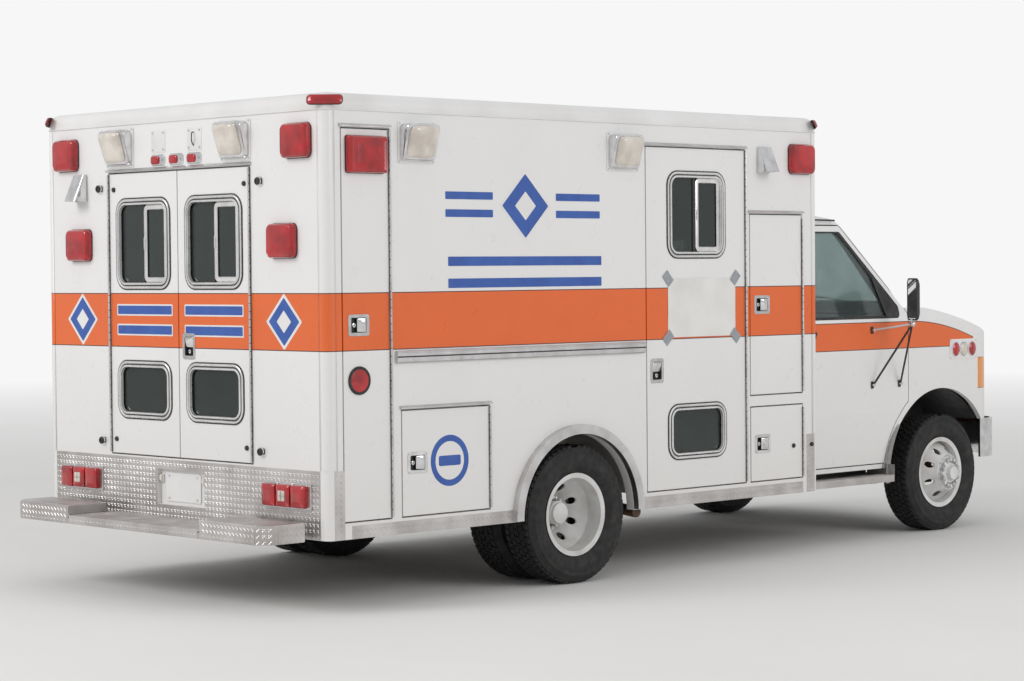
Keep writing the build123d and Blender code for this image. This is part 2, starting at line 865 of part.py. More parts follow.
# Front wall with the walk-through to the cab
walk_w = 560
walk_h = 1100
rail_hole = 20
under_h = 240
under_edge = 50
with BuildPart() as wall_front:
    with BuildSketch(across_plane(y_module)):
        with Locations((0, (skirt_z + rail_top_z) / 2)):
            Rectangle(2 * inner_x, rail_top_z - skirt_z)
        for x in (-rail_x, rail_x):
            with Locations((x, rail_z + rail_h / 2)):
                Rectangle(rail_w + rail_hole, rail_h + rail_hole, mode=Mode.SUBTRACT)
        with Locations((0, floor_top + walk_h / 2)):
            Rectangle(walk_w, walk_h, mode=Mode.SUBTRACT)
        with Locations((0, skirt_z + under_h / 2)):
            Rectangle(2 * rail_x - 2 * under_edge, under_h + 2 * under_edge, mode=Mode.SUBTRACT)
    extrude(amount=-wall_t)
finish(wall_front, "module_wall_front")

# Liners of the outside compartments: five-sided boxes behind each hatch, the wheel housings between them
for side, s in sides:
    with BuildPart() as cabinets:
        for name, door_side, start, width, low, high in side_doors:
            if door_side != s or name == "entry_door":
                continue
            middle = (y_face - start - width / 2, (low + high) / 2)
            with BuildSketch(side_plane(s * inner_x)):
                with Locations(middle):
                    Rectangle(width - 2 * lip + 2 * liner_t, high - low - 2 * lip + 2 * liner_t)
            extrude(amount=-s * liner_depth)
            with BuildSketch(side_plane(s * inner_x)):
                with Locations(middle):
                    Rectangle(width - 2 * lip, high - low - 2 * lip)
            extrude(amount=-s * (liner_depth - liner_t), mode=Mode.SUBTRACT)
        with BuildSketch(side_plane(s * inner_x)):
            with Locations((y_rear_axle, (floor_z + housing_top) / 2)):
                Rectangle(2 * housing_r, housing_top - floor_z)
        extrude(amount=-s * (inner_x - well_x))
        with BuildSketch(side_plane(s * inner_x)):
            with Locations((y_rear_axle, (floor_z + housing_top) / 2 - liner_t)):
                Rectangle(2 * housing_r - 2 * liner_t, housing_top - floor_z)
        extrude(amount=-s * (inner_x - well_x - liner_t), mode=Mode.SUBTRACT)
    finish(cabinets, "cabinets_" + side)

# Hatches: doors hinged on their front edge, each with a pocket for its latch's pan; the tall one carries a lamp
for name, s, start, width, low, high in side_doors:
    if name == "entry_door":
        continue
    with BuildPart() as hatch:
        if name == "hatch_curb_rear":
            lamp_face = skin_plane("curb", start + width / 2, rail_top_z - hatch_lamp_down)
            with BuildSketch(lamp_face):
                Rectangle(warning_w, warning_h)
            extrude(amount=warning_base)
            with BuildSketch(lamp_face.offset(warning_base)):
                Rectangle(warning_w, warning_h)
            extrude(amount=warning_lens, taper=warning_taper)
        with BuildSketch(side_plane(s * half_w)):
            with Locations((y_face - start - width / 2, (low + high) / 2)):
                Rectangle(width, high - low)
        extrude(amount=-s * door_t)
        with BuildSketch(side_plane(s * half_w)):
            with Locations((y_face - start - latch_in, (low + high) / 2)):
                Rectangle(latch_pan_l, latch_pan_w)
        extrude(amount=-s * latch_deep, mode=Mode.SUBTRACT)
    finish(hatch, name)


def windows(x, upper_z, lower_z, mode=Mode.ADD):
    """The two window shapes of a door in the sketch that is open: the upper and the lower one."""
    for z, height in ((upper_z, upper_window_h), (lower_z, lower_window_h)):
        with Locations((x, z + height / 2)):
            RectangleRounded(window_w, height, window_r, mode=mode)


# Entry door with its two windows
entry_upper_z = entry_top - entry_upper_down
entry_lower_z = entry_z + entry_lower_up
with BuildPart() as entry_door:
    with BuildSketch(side_plane(-half_w)):
        with Locations((entry_y, (entry_z + entry_top) / 2)):
            Rectangle(entry_w, entry_top - entry_z)
        windows(entry_y, entry_upper_z, entry_lower_z, Mode.SUBTRACT)
    extrude(amount=door_t)
    with BuildSketch(side_plane(-half_w)):
        with Locations((y_face - entry_start - entry_latch_in, entry_z + entry_latch_up)):
            Rectangle(latch_pan_w, latch_pan_l)
    extrude(amount=latch_deep, mode=Mode.SUBTRACT)
finish(entry_door, "entry_door")

with BuildPart() as entry_glass:
    with BuildSketch(side_plane(-half_w + door_t / 2 - glass_t)):
        windows(entry_y, entry_upper_z, entry_lower_z)
    extrude(amount=glass_t)
finish(entry_glass, "entry_glass")

# Rear doors, each with an upper and a lower window; the curb side's leaf carries the latch
leaf_w = rear_door_w - seam / 2
rear_upper_z = rear_door_top - rear_upper_down
rear_lower_z = rear_door_z + rear_lower_up
for side, s in sides:
    leaf_x = s * (seam / 2 + leaf_w / 2)
    with BuildPart() as rear_door:
        with BuildSketch(across_plane(y_face)):
            with Locations((leaf_x, door_mid_z)):
                Rectangle(leaf_w, door_h)
            windows(s * rear_window_x, rear_upper_z, rear_lower_z, Mode.SUBTRACT)
        extrude(amount=door_t)
        if side == "curb":
            with BuildSketch(across_plane(y_face)):
                with Locations((-rear_latch_in - seam / 2, rear_door_z + rear_latch_up)):
                    Rectangle(latch_pan_w, latch_pan_l)
            extrude(amount=latch_deep, mode=Mode.SUBTRACT)
    finish(rear_door, "rear_door_" + side)
    with BuildPart() as rear_glass:
        with BuildSketch(across_plane(y_face - door_t / 2 + glass_t)):
            windows(s * rear_window_x, rear_upper_z, rear_lower_z)
        extrude(amount=glass_t)
    finish(rear_glass, "rear_glass_" + side)

# Rear step: two raised blocks with broken corners, a lower tread between them, and a beam behind the blocks' ends
block_w = step_half - step_block_in
block_x = (step_half + step_block_in) / 2
block_y = y_back - step_block_l / 2
with BuildPart() as rear_step:
    for x in (-block_x, block_x):
        with BuildSketch(Plane.XY.offset(step_top - step_h)) as block_plan:
            with Locations((x, block_y)):
                Rectangle(block_w, step_block_l)
            outer_corners = block_plan.vertices().sort_by(lambda v: abs(v.X))[-2:]
            chamfer(outer_corners.sort_by(Axis.Y)[-1], length=step_chamfer)
        extrude(amount=step_h)
        with BuildSketch(Plane.XY.offset(step_top - step_h)):
            with Locations((x, block_y)):
                Rectangle(block_w - 2 * step_chamfer, step_block_l - 2 * step_wall)
        extrude(amount=step_h - step_wall, mode=Mode.SUBTRACT)
    with BuildSketch(Plane.XY.offset(step_top - step_drop - step_wall)):
        with Locations((0, y_face + step_depth / 2)):
            Rectangle(2 * step_block_in, step_depth)
    extrude(amount=step_wall)
    with BuildSketch(Plane.XY.offset(step_top - step_h)):
        for y in (y_face + step_wall / 2, y_back - step_wall / 2):
            with Locations((0, y)):
                Rectangle(2 * step_block_in, step_wall)
    extrude(amount=step_h - step_drop)
finish(rear_step, "rear_step")

# Outside trim: wheel arch flares, rub rails with bevelled edges, and drip rails over the doors
rub_start = rear_post + rear_hatch_w + rub_past
rub_end = rear_overhang + arch_r + flare_w + rub_past - 3
# face, middle, height, length
drips = [("rear", 0, rear_door_top, 2 * rear_door_w)]
for name, s, start, width, low, high in side_doors:
    if name != "hatch_curb_front_lower":
        drips.append(("curb" if s < 0 else "street", start + width / 2, high, width))
with BuildPart() as body_trim:
    for side, s in sides:
        with BuildSketch(side_plane(s * half_w)):
            with Locations((y_rear_axle, tyre_r)):
                Circle(arch_r + flare_w)
                Circle(arch_r, mode=Mode.SUBTRACT)
            with Locations((y_rear_axle, tyre_r - arch_r)):
                Rectangle(3 * arch_r, 2 * arch_r, mode=Mode.SUBTRACT)
        extrude(amount=s * flare_out)
        with BuildSketch(profile_plane(side, (rub_start + rub_end) / 2, rub_z)):
            with BuildLine():
                Polyline(
                    (0, 0),
                    (0, rub_h),
                    (rub_out - rub_bevel, rub_h),
                    (rub_out, rub_h - rub_bevel),
                    (rub_out, rub_bevel),
                    (rub_out - rub_bevel, 0),
                    close=True,
                )
            make_face()
        extrude(amount=(rub_end - rub_start) / 2, both=True)
    for face, middle, top, width in drips:
        with BuildSketch(profile_plane(face, middle, top + seam + drip_gap)):
            with BuildLine():
                Polyline((0, 0), (0, drip_h), (drip_gap, drip_h), (drip_out, drip_gap), (drip_out, 0), close=True)
            make_face()
        extrude(amount=width / 2 + lip, both=True)
finish(body_trim, "body_trim")

# Lamps of the module: face, position, distance below the walls' top
warning_lamps = (
    ("rear", -995, 146),
    ("rear", 995, 146),
    ("rear", -878, 635),
    ("rear", 878, 635),
    ("curb", module_l - 159, 161),
    ("street", module_l - 159, 161),
    ("street", rear_post + rear_hatch_w / 2, 216),
    ("front", -front_lamp_x, 146),
    ("front", front_lamp_x, 146),
)
scene_lamps = (
    ("rear", -500, 122),
    ("rear", 500, 122),
    ("curb", 590, 148),
    ("curb", 2081, 148),
    ("street", 590, 148),
    ("street", 2081, 148),
)
with BuildPart() as module_lamps:
    for face, along, down in warning_lamps:
        base = skin_plane(face, along, rail_top_z - down)
        with BuildSketch(base):
            Rectangle(warning_w, warning_h)
        extrude(amount=warning_base)
        with BuildSketch(base.offset(warning_base)):
            Rectangle(warning_w, warning_h)
        extrude(amount=warning_lens, taper=warning_taper)
    for face, along, down in scene_lamps:
        with BuildSketch(profile_plane(face, along, rail_top_z - down - scene_h / 2)):
            with BuildLine():
                Polyline((0, 0), (0, scene_h), (scene_high_out, scene_h), (scene_low_out, 0), close=True)
            make_face()
        extrude(amount=scene_w / 2, both=True)
    for x in (-tail_x, tail_x):
        with BuildSketch(skin_plane("rear", x, skirt_z + tail_up)):
            Rectangle(tail_w, tail_h)
        extrude(amount=tail_out)
finish(module_lamps, "module_lamps")

# Bench over the curb side's wheel housing
bench_h = 235
bench_board = 25
bench_pad = 90
bench_w = 550
bench_r = 40
bench_start = rear_post + rear_hatch_w + 16
bench_end = entry_start - 30
bench_y = y_face - (bench_start + bench_end) / 2
bench_l = bench_end - bench_start
bench_top = floor_top + bench_h
with BuildPart() as bench:
    with BuildSketch(Plane.XY.offset(bench_top)):
        with Locations((-inner_x + bench_w / 2, bench_y)):
            Rectangle(bench_w, bench_l)
    extrude(amount=bench_board)
    with BuildSketch(Plane.XY.offset(floor_top)):
        with Locations((-inner_x + bench_w - 10, bench_y)):
            Rectangle(20, bench_l)
    extrude(amount=bench_h)
    with BuildSketch(Plane.XY.offset(bench_top + bench_board)):
        with Locations((-inner_x + bench_w / 2, bench_y)):
            RectangleRounded(bench_w, bench_l - 20, bench_r)
    extrude(amount=bench_pad)
finish(bench, "bench")

# Attendant's seat behind the cab, beside the walk-through
attendant_l = 450
attendant_gap = 5
attendant_w = inner_x - liner_depth - walk_w / 2 - 2 * attendant_gap
attendant_x = walk_w / 2 + attendant_gap + attendant_w / 2
attendant_y = y_module + wall_t + 40 + attendant_l / 2
attendant_base = 400
attendant_pad = 110
attendant_back = 640
attendant_back_t = 110
with BuildPart() as attendant_seat:
    with BuildSketch(Plane.XY.offset(floor_top)):
        with Locations((attendant_x, attendant_y)):
            Rectangle(attendant_w - 80, attendant_l - 60)
    extrude(amount=attendant_base)
    with BuildSketch(Plane.XY.offset(floor_top + attendant_base)):
        with Locations((attendant_x, attendant_y)):
            Rectangle(attendant_w, attendant_l)
    extrude(amount=attendant_pad)
    with BuildSketch(Plane.XY.offset(floor_top + attendant_base + attendant_pad)):
        with Locations((attendant_x, attendant_y - (attendant_l - attendant_back_t) / 2)):
            Rectangle(attendant_w, attendant_back_t)
    extrude(amount=attendant_back)
finish(attendant_seat, "attendant_seat")

# Cab: its closed outer form, cut into the pieces that real panels make
spare = 50
far = 1500


def cab_block(inset):
    """The cab's outer form, moved inwards by an inset and then running out below and behind."""
    past = 3 * inset
    bottom = cab_bottom - past
    back = y_cab + past
    foot = y_front_axle + cowl_y - screen_foot
    with BuildPart() as block:
        with BuildSketch(side_plane(-cab_half - 2 * spare)):
            with BuildLine():
                header_z = cab_roof_top - header_drop
                header_y = foot + (header_z - cowl_z) * screen_slope
                roof_back = (back, cab_roof_top + roof_slant)
                Polyline((y_nose, bottom), (back, bottom), roof_back, (header_y, header_z), (foot, cowl_z))
                ThreePointArc(
                    (foot, cowl_z),
                    (y_front_axle - hood_crown_y, hood_crown_z),
                    (y_front_axle - hood_front_y, hood_front_z),
                )
                ThreePointArc(
                    (y_front_axle - hood_front_y, hood_front_z),
                    (y_nose + lip_back, hood_lip_z + lip_rise),
                    (y_nose, hood_lip_z - lip_drop),
                )
                Line((y_nose, hood_lip_z - lip_drop), (y_nose, bottom))
            make_face()
            if inset:
                offset(amount=-inset)
        extrude(amount=2 * cab_half + 4 * spare)
        with BuildSketch(across_plane(back + spare)) as front:
            with BuildLine():
                Polyline(
                    (-cab_roof_half, cab_roof_edge),
                    (-cab_half, cab_belt),
                    (-cab_half, cab_crease),
                    (-cab_half + cab_tuck, bottom),
                    (cab_half - cab_tuck, bottom),
                    (cab_half, cab_crease),
                    (cab_half, cab_belt),
                    (cab_roof_half, cab_roof_edge),
                )
                ThreePointArc((-cab_roof_half, cab_roof_edge), (0, cab_roof_top), (cab_roof_half, cab_roof_edge))
            make_face()
            fillet(front.vertices().group_by(Axis.Y)[-1], radius=roof_corner_r)
            if inset:
                offset(amount=-inset)
        extrude(amount=back + 2 * spare - y_bumper, mode=Mode.INTERSECT)
        with BuildSketch(Plane.XY.offset(bottom - spare)) as plan:
            with BuildLine():
                bow = y_nose + nose_bow
                Polyline((-cab_half, bow), (-cab_half, back), (cab_half, back), (cab_half, bow))
                ThreePointArc((-cab_half, bow), (0, y_nose), (cab_half, bow))
            make_face()
            fillet(plan.vertices().sort_by(Axis.Y)[:2], radius=nose_r)
            if inset:
                offset(amount=-inset)
        extrude(amount=cab_roof_top + 4 * spare - bottom, mode=Mode.INTERSECT)
        cut_top = cab_roof_top + 2 * spare
        cut_y = y_front_axle + cowl_y + (cut_top - cowl_z) * screen_slope + inset * screen_long / screen_rise
        with BuildSketch(Plane.XY.offset(cut_top)):
            with BuildLine():
                ThreePointArc((-cab_half, cut_y + screen_bow), (0, cut_y), (cab_half, cut_y + screen_bow))
                Polyline(
                    (cab_half, cut_y + screen_bow),
                    (cab_half, cut_y - far),
                    (-cab_half, cut_y - far),
                    (-cab_half, cut_y + screen_bow),
                )
            make_face()
        extrude(
            amount=(cut_top - cowl_z + inset) * screen_long / screen_rise,
            dir=(0, -screen_run, -screen_rise),
            mode=Mode.SUBTRACT,
        )
    return block.part


def door_outline(grow):
    """The cab door seen from the side: length along the vehicle, height."""
    strip_r = front_arch_r + fender_strip
    front = y_front_axle + door_front
    back = y_front_axle + door_back
    arch_start = arch_z + math.sqrt(strip_r**2 - (front - arch_y) ** 2)
    arch_end = arch_y + math.sqrt(strip_r**2 - (cab_sill - arch_z) ** 2)
    turn = math.radians(25)
    pillar = y_front_axle + door_pillar_y
    with BuildSketch() as outline:
        with BuildLine():
            Polyline(
                (front, arch_start),
                (front, pillar_z - door_corner_drop),
                (pillar, pillar_z),
                (pillar + (door_top - pillar_z) * screen_slope, door_top),
                (back, door_top),
                (back, cab_sill),
                (arch_end, cab_sill),
            )
            ThreePointArc(
                (arch_end, cab_sill),
                (arch_y + strip_r * math.cos(turn), arch_z + strip_r * math.sin(turn)),
                (front, arch_start),
            )
        make_face()
        if grow:
            offset(amount=grow)
    return outline.sketch


def window_outline():
    """The cab door's window in the same view."""
    front = y_front_axle + glass_pillar_y
    top_y = front + (window_top - pillar_z) * screen_slope
    back = y_front_axle + window_back
    with BuildSketch() as outline:
        with BuildLine():
            Polyline(
                (front - 12, window_bottom),
                (front, pillar_z),
                (top_y, window_top),
                (back, window_top),
                (back, window_bottom),
                close=True,
            )
        make_face()
        fillet(outline.vertices(), radius=cab_window_r)
    return outline.sketch


def clip_outline(strip):
    """The front clip's share of the cab, seen from the side: all ahead of the door and a strip round the arch."""
    split_y = y_front_axle + door_front - cab_seam
    with BuildSketch() as outline:
        with Locations((arch_y, arch_z)):
            Circle(front_arch_r + strip)
        with Locations((arch_y, arch_z + fender_top + far / 2)):
            Rectangle(2 * far, far, mode=Mode.SUBTRACT)
        with Locations((split_y - far / 2, cowl_z / 2)):
            Rectangle(far, cowl_z)
    return outline.sketch


def screen_outline():
    """The windshield seen from the front."""
    with BuildSketch() as outline:
        with BuildLine():
            Polyline(
                (-screen_low_half, screen_low_z),
                (-screen_high_half, screen_high_z),
                (screen_high_half, screen_high_z),
                (screen_low_half, screen_low_z),
                close=True,
            )
        make_face()
        fillet(outline.vertices(), radius=screen_r)
    return outline.sketch


outer_block = cab_block(0)
inner_block = cab_block(cab_t)
with BuildPart() as cab_skin:
    add(outer_block)
    add(inner_block, mode=Mode.SUBTRACT)
with BuildPart() as glass_skin:
    add(cab_block(glass_in))
    add(cab_block(glass_in + glass_t), mode=Mode.SUBTRACT)
edge_ways = {"curb": (1, -edge_slant, 0), "street": (-1, -edge_slant, 0)}
screen_plane = across_plane(y_front_axle + far)

# Cab shell: roof, pillars, sills and the windshield's frame
with BuildPart() as cab_shell:
    add(cab_skin.part)
    with BuildSketch(side_plane(-cab_half - spare)):
        add(clip_outline(fender_strip + fender_cut))
    extrude(amount=2 * cab_half + 2 * spare, mode=Mode.SUBTRACT)
    for side, s in sides:
        with BuildSketch(side_plane(s * cab_half)):
            add(door_outline(cab_seam))
        extrude(amount=edge_deep, dir=edge_ways[side], mode=Mode.SUBTRACT)
    with BuildSketch(screen_plane):
        add(screen_outline())
    extrude(amount=far + nose_y, mode=Mode.SUBTRACT)
finish(cab_shell, "cab_shell")

# Windshield
with BuildPart() as windshield:
    add(glass_skin.part)
    with BuildSketch(screen_plane):
        add(screen_outline())
    extrude(amount=far + nose_y, mode=Mode.INTERSECT)
finish(windshield, "windshield")

# Front clip: fenders, cowl and nose, open for the hood, the grille and the corner lamps
marker_low_x = cab_half - marker_in
marker_mid_z = (marker_z + marker_top) / 2
grille_mid_z = (grille_z + grille_top) / 2
corner_plane = across_plane(y_nose + nose_r + 10)
corner_deep = nose_r + nose_bow + 10
with BuildPart() as front_clip:
    add(cab_skin.part)
    with BuildSketch(side_plane(-cab_half - spare)):
        add(clip_outline(fender_strip - cab_seam))
    extrude(amount=2 * cab_half + 2 * spare, mode=Mode.INTERSECT)
    for side, s in sides:
        with BuildSketch(side_plane(s * cab_half)):
            add(door_outline(cab_seam))
        extrude(amount=edge_deep, dir=edge_ways[side], mode=Mode.SUBTRACT)
        with BuildSketch(side_plane(s * cab_half)):
            with Locations((arch_y, arch_z)):
                Circle(front_arch_r)
        extrude(amount=s * (liner_in - cab_half), mode=Mode.SUBTRACT)
        with BuildSketch(corner_plane):
            with Locations((s * (marker_low_x + cab_half) / 2, marker_mid_z)):
                Rectangle(marker_in + 2 * lamp_seam, marker_top - marker_z + 2 * lamp_seam)
        extrude(amount=corner_deep, mode=Mode.SUBTRACT)
    with BuildSketch(Plane.XY.offset(hood_lip_z - hood_seam)):
        with Locations((0, hood_back + hood_seam - far / 2)):
            Rectangle(2 * hood_half + 2 * hood_seam, far)
    extrude(amount=cowl_z, mode=Mode.SUBTRACT)
    with BuildSketch(corner_plane):
        with Locations((0, grille_mid_z)):
            RectangleRounded(2 * grille_half, grille_top - grille_z, grille_r)
    extrude(amount=corner_deep, mode=Mode.SUBTRACT)
    with BuildSketch(Plane.XY):
        with Locations((0, y_nose)):
            Rectangle(3 * cab_half, 2 * bumper_wrap + 20)
    extrude(amount=nose_sill, mode=Mode.SUBTRACT)
finish(front_clip, "front_clip")

# Wheel liners: a half round over each front wheel with a wall on its inner side
arch_floor = arch_z + 45
with BuildPart() as wheel_liners:
    for side, s in sides:
        with BuildSketch(side_plane(s * liner_in)):
            with Locations((arch_y, arch_z)):
                Circle(liner_out_r)
                Circle(front_arch_r, mode=Mode.SUBTRACT)
            with Locations((arch_y, arch_floor - far / 2)):
                Rectangle(2 * far, far, mode=Mode.SUBTRACT)
        extrude(amount=s * (cab_half - cab_tuck - cab_t - 5 - liner_in))
        with BuildSketch(side_plane(s * (liner_in - liner_t))):
            with Locations((arch_y, arch_z)):
                Circle(liner_out_r)
            with Locations((arch_y, arch_floor - far / 2)):
                Rectangle(2 * far, far, mode=Mode.SUBTRACT)
        extrude(amount=s * liner_t)
    with BuildSketch(Plane.XY):
        with Locations((0, y_nose)):
            Rectangle(3 * cab_half, 2 * bumper_wrap + 20)
    extrude(amount=nose_sill, mode=Mode.SUBTRACT)
finish(wheel_liners, "wheel_liners")

# Hood
with BuildPart() as hood:
    add(cab_skin.part)
    with BuildSketch(Plane.XY.offset(hood_lip_z)):
        with Locations((0, hood_back - far / 2)):
            Rectangle(2 * hood_half, far)
    extrude(amount=cowl_z, mode=Mode.INTERSECT)
finish(hood, "hood")

# Grille: a panel in the nose with slots between the two headlamps' openings
lamp_x = grille_half - lamp_edge - lamp_w / 2
with BuildPart() as grille:
    add(cab_block(grille_in))
    add(inner_block, mode=Mode.SUBTRACT)
    with BuildSketch(corner_plane):
        with Locations((0, grille_mid_z)):
            RectangleRounded(2 * grille_half, grille_top - grille_z, grille_r)
    extrude(amount=corner_deep, mode=Mode.INTERSECT)
    with BuildSketch(corner_plane):
        with Locations((0, grille_mid_z)):
            with GridLocations(slot_w + slot_space, slot_pitch, 2, slot_count):
                Rectangle(slot_w, slot_h)
        with Locations((-lamp_x, grille_mid_z), (lamp_x, grille_mid_z)):
            Rectangle(lamp_w + 2 * lamp_seam, lamp_h + 2 * lamp_seam)
    extrude(amount=corner_deep, mode=Mode.SUBTRACT)
finish(grille, "grille")

# Headlamps in the grille and the marker lamps that wrap the nose's corners
with BuildPart() as headlamps:
    add(cab_skin.part)
    with BuildSketch(corner_plane):
        with Locations((-lamp_x, grille_mid_z), (lamp_x, grille_mid_z)):
            Rectangle(lamp_w, lamp_h)
        for s in (-1, 1):
            with Locations((s * (marker_low_x + cab_half) / 2, marker_mid_z)):
                Rectangle(marker_in, marker_top - marker_z)
    extrude(amount=corner_deep, mode=Mode.INTERSECT)
finish(headlamps, "headlamps")

# Doors of the cab and their glass; the street side mirrors the curb side
with BuildPart() as cab_door_curb:
    add(cab_skin.part)
    with BuildSketch(side_plane(-cab_half)):
        add(door_outline(0))
    extrude(amount=edge_deep, dir=edge_ways["curb"], mode=Mode.INTERSECT)
    with BuildSketch(side_plane(-cab_half)):
        add(window_outline())
    extrude(amount=edge_deep, dir=edge_ways["curb"], mode=Mode.SUBTRACT)
finish(cab_door_curb, "cab_door_curb")
with BuildPart() as cab_door_street:
    mirror(cab_door_curb.part, about=Plane.YZ)
finish(cab_door_street, "cab_door_street")
with BuildPart() as cab_glass_curb:
    add(glass_skin.part)
    with BuildSketch(side_plane(-cab_half)):
        add(window_outline())
    extrude(amount=edge_deep, dir=edge_ways["curb"], mode=Mode.INTERSECT)
finish(cab_glass_curb, "cab_glass_curb")
with BuildPart() as cab_glass_street:
    mirror(cab_glass_curb.part, about=Plane.YZ)
finish(cab_glass_street, "cab_glass_street")

# Mirrors: a turned head on a two-legged arm from each cab door
upper_foot_z = mirror_z - 55
ball_z = mirror_z - 20
with BuildPart() as mirror_curb:
    knee = Vector(-mirror_x, mirror_y, ball_z)
    arms = [(back, mirror_foot_z, 12) for back in mirror_feet] + [(mirror_y_back, upper_foot_z, 4)]
    for back, z, out in arms:
        start = Vector(-cab_half - out, y_front_axle + back, z)
        with BuildSketch(Plane(origin=start, z_dir=knee - start)):
            Circle(arm_r)
        extrude(amount=(knee - start).length)
        with BuildSketch(side_plane(-cab_half)):
            with Locations((y_front_axle + back, z)):
                Rectangle(foot_l, foot_h)
        extrude(amount=-foot_t)
    with BuildSketch(Plane(origin=knee)):
        Circle(ball_r)
    extrude(amount=30)
    head_plane = Plane(
        origin=(-mirror_x, mirror_y, mirror_z + mirror_h / 2),
        x_dir=(math.cos(mirror_turn), -math.sin(mirror_turn), 0),
        z_dir=(math.sin(mirror_turn), math.cos(mirror_turn), 0),
    )
    with BuildSketch(head_plane):
        RectangleRounded(mirror_w, mirror_h, 25)
    extrude(amount=-mirror_t)
finish(mirror_curb, "mirror_curb")
with BuildPart() as mirror_street:
    mirror(mirror_curb.part, about=Plane.YZ)
finish(mirror_street, "mirror_street")

# Front bumper: a channel that wraps the corners, on two brackets from the frame
with BuildPart() as front_bumper:
    for wall, back, mode in ((0, y_nose + bumper_wrap, Mode.ADD), (bumper_t, y_front_axle, Mode.SUBTRACT)):
        half = bumper_half - wall
        corner_y = y_bumper + bumper_bow + wall
        with BuildSketch(Plane.XY.offset(bumper_z)) as bumper_plan:
            with BuildLine():
                Polyline((-half, corner_y), (-half, back), (half, back), (half, corner_y))
                ThreePointArc((-half, corner_y), (0, y_bumper + wall), (half, corner_y))
            make_face()
            fillet(bumper_plan.vertices().sort_by(Axis.Y)[:2], radius=bumper_r - wall)
        extrude(amount=bumper_h, mode=mode)
    for x in (-rail_x, rail_x):
        with BuildSketch(across_plane(rail_front)):
            with Locations((x, rail_z + rail_h / 2)):
                Rectangle(rail_w - 20, rail_h - 40)
        extrude(amount=rail_inset - 2 * bumper_t)
finish(front_bumper, "front_bumper")

# Cab floor, sills, firewall and the cover over the engine, on four rubber mounts
floor_y = (y_cab + floor_front) / 2
sill_y = (y_cab + board_front) / 2
with BuildPart() as cab_floor:
    with BuildSketch(Plane.XY.offset(floor_low)):
        with Locations((0, floor_y)):
            Rectangle(2 * floor_half, y_cab - floor_front)
        for x in (-floor_half, floor_half):
            with Locations((x, floor_front)):
                Rectangle(2 * (floor_half - liner_in + liner_t), 2 * (liner_back - floor_front), mode=Mode.SUBTRACT)
    extrude(amount=cab_floor_t)
    for s in (-1, 1):
        with BuildSketch(Plane.XY.offset(cab_bottom)):
            with Locations((s * (floor_half - sill_w / 2), sill_y)):
                Rectangle(sill_w, y_cab - board_front)
        extrude(amount=floor_low - cab_bottom)
        with BuildSketch(Plane.XY.offset(cab_bottom)):
            with Locations((s * (floor_half + sill_w / 2), sill_y)):
                Rectangle(2 * sill_w, y_cab - board_front)
        extrude(amount=cab_sill - cab_seam - cab_bottom - 3)
    with BuildSketch(across_plane(floor_front)):
        with Locations((0, (cab_floor_z + cowl_z - cab_t) / 2)):
            Rectangle(2 * (liner_in - liner_t), cowl_z - cab_t - cab_floor_z)
        with Locations((0, (firewall_low + cowl_z - cab_t) / 2)):
            Rectangle(2 * floor_half, cowl_z - cab_t - firewall_low)
    extrude(amount=-firewall_t)
    add(inner_block, mode=Mode.INTERSECT)
    with BuildSketch(Plane.XY.offset(floor_low)):
        with Locations((0, floor_front + cover_l / 2)):
            Rectangle(cover_w, cover_l)
    extrude(amount=cover_top - floor_low)
    with BuildSketch(Plane.XY.offset(floor_low)):
        with Locations((0, floor_front + cover_l / 2 - cover_t)):
            Rectangle(cover_w - 2 * cover_t, cover_l)
    extrude(amount=cover_top - floor_low - cover_t, mode=Mode.SUBTRACT)
    for x in (-rail_x, rail_x):
        for y in (y_front_axle + door_front + mount_back, y_cab - mount_end):
            with BuildSketch(Plane.XY.offset(rail_z + rail_h)):
                with Locations((x, y)):
                    Circle(mount_r)
            extrude(amount=floor_low - rail_z - rail_h)
finish(cab_floor, "cab_floor")

# Seats of the cab, as a side profile: distance behind the seat's front, height above the floor
seat_profile = (
    (0, 0), (0, 230), (-40, 260), (-30, 380), (380, 350), (500, 980), (600, 970), (520, 300), (420, 230), (400, 0),
)
with BuildPart() as cab_seats:
    for x in (-seat_x, seat_x):
        with BuildSketch(side_plane(x - seat_w / 2)):
            with BuildLine():
                Polyline(*[(seat_y + back, cab_floor_z + up) for back, up in seat_profile], close=True)
            make_face()
        extrude(amount=seat_w)
finish(cab_seats, "cab_seats")

# Dashboard with the steering column and wheel on the street side
dash_y = floor_front + firewall_t
column_way = Vector(0, 0.8, 0.6)
column_foot = Vector(seat_x, floor_front + column_start, column_z)
with BuildPart() as dashboard:
    with BuildSketch(side_plane(-dash_half)):
        with BuildLine():
            Polyline(
                (dash_y, dash_low),
                (dash_y, dash_top),
                (floor_front + column_start, dash_top),
                (floor_front + dash_deep, dash_top - 90),
                (floor_front + dash_deep - 40, dash_low + 40),
                close=True,
            )
        make_face()
    extrude(amount=2 * dash_half)
    with BuildSketch(Plane(origin=column_foot, z_dir=column_way)):
        Circle(column_r)
    extrude(amount=column_l)
    with BuildSketch(Plane(origin=column_foot + column_way * (column_l - 5), x_dir=(1, 0, 0), z_dir=column_way)):
        Circle(steer_r)
        Circle(steer_r - steer_rim, mode=Mode.SUBTRACT)
        Rectangle(2 * (steer_r - steer_rim / 2), 36)
    extrude(amount=20)
finish(dashboard, "dashboard")

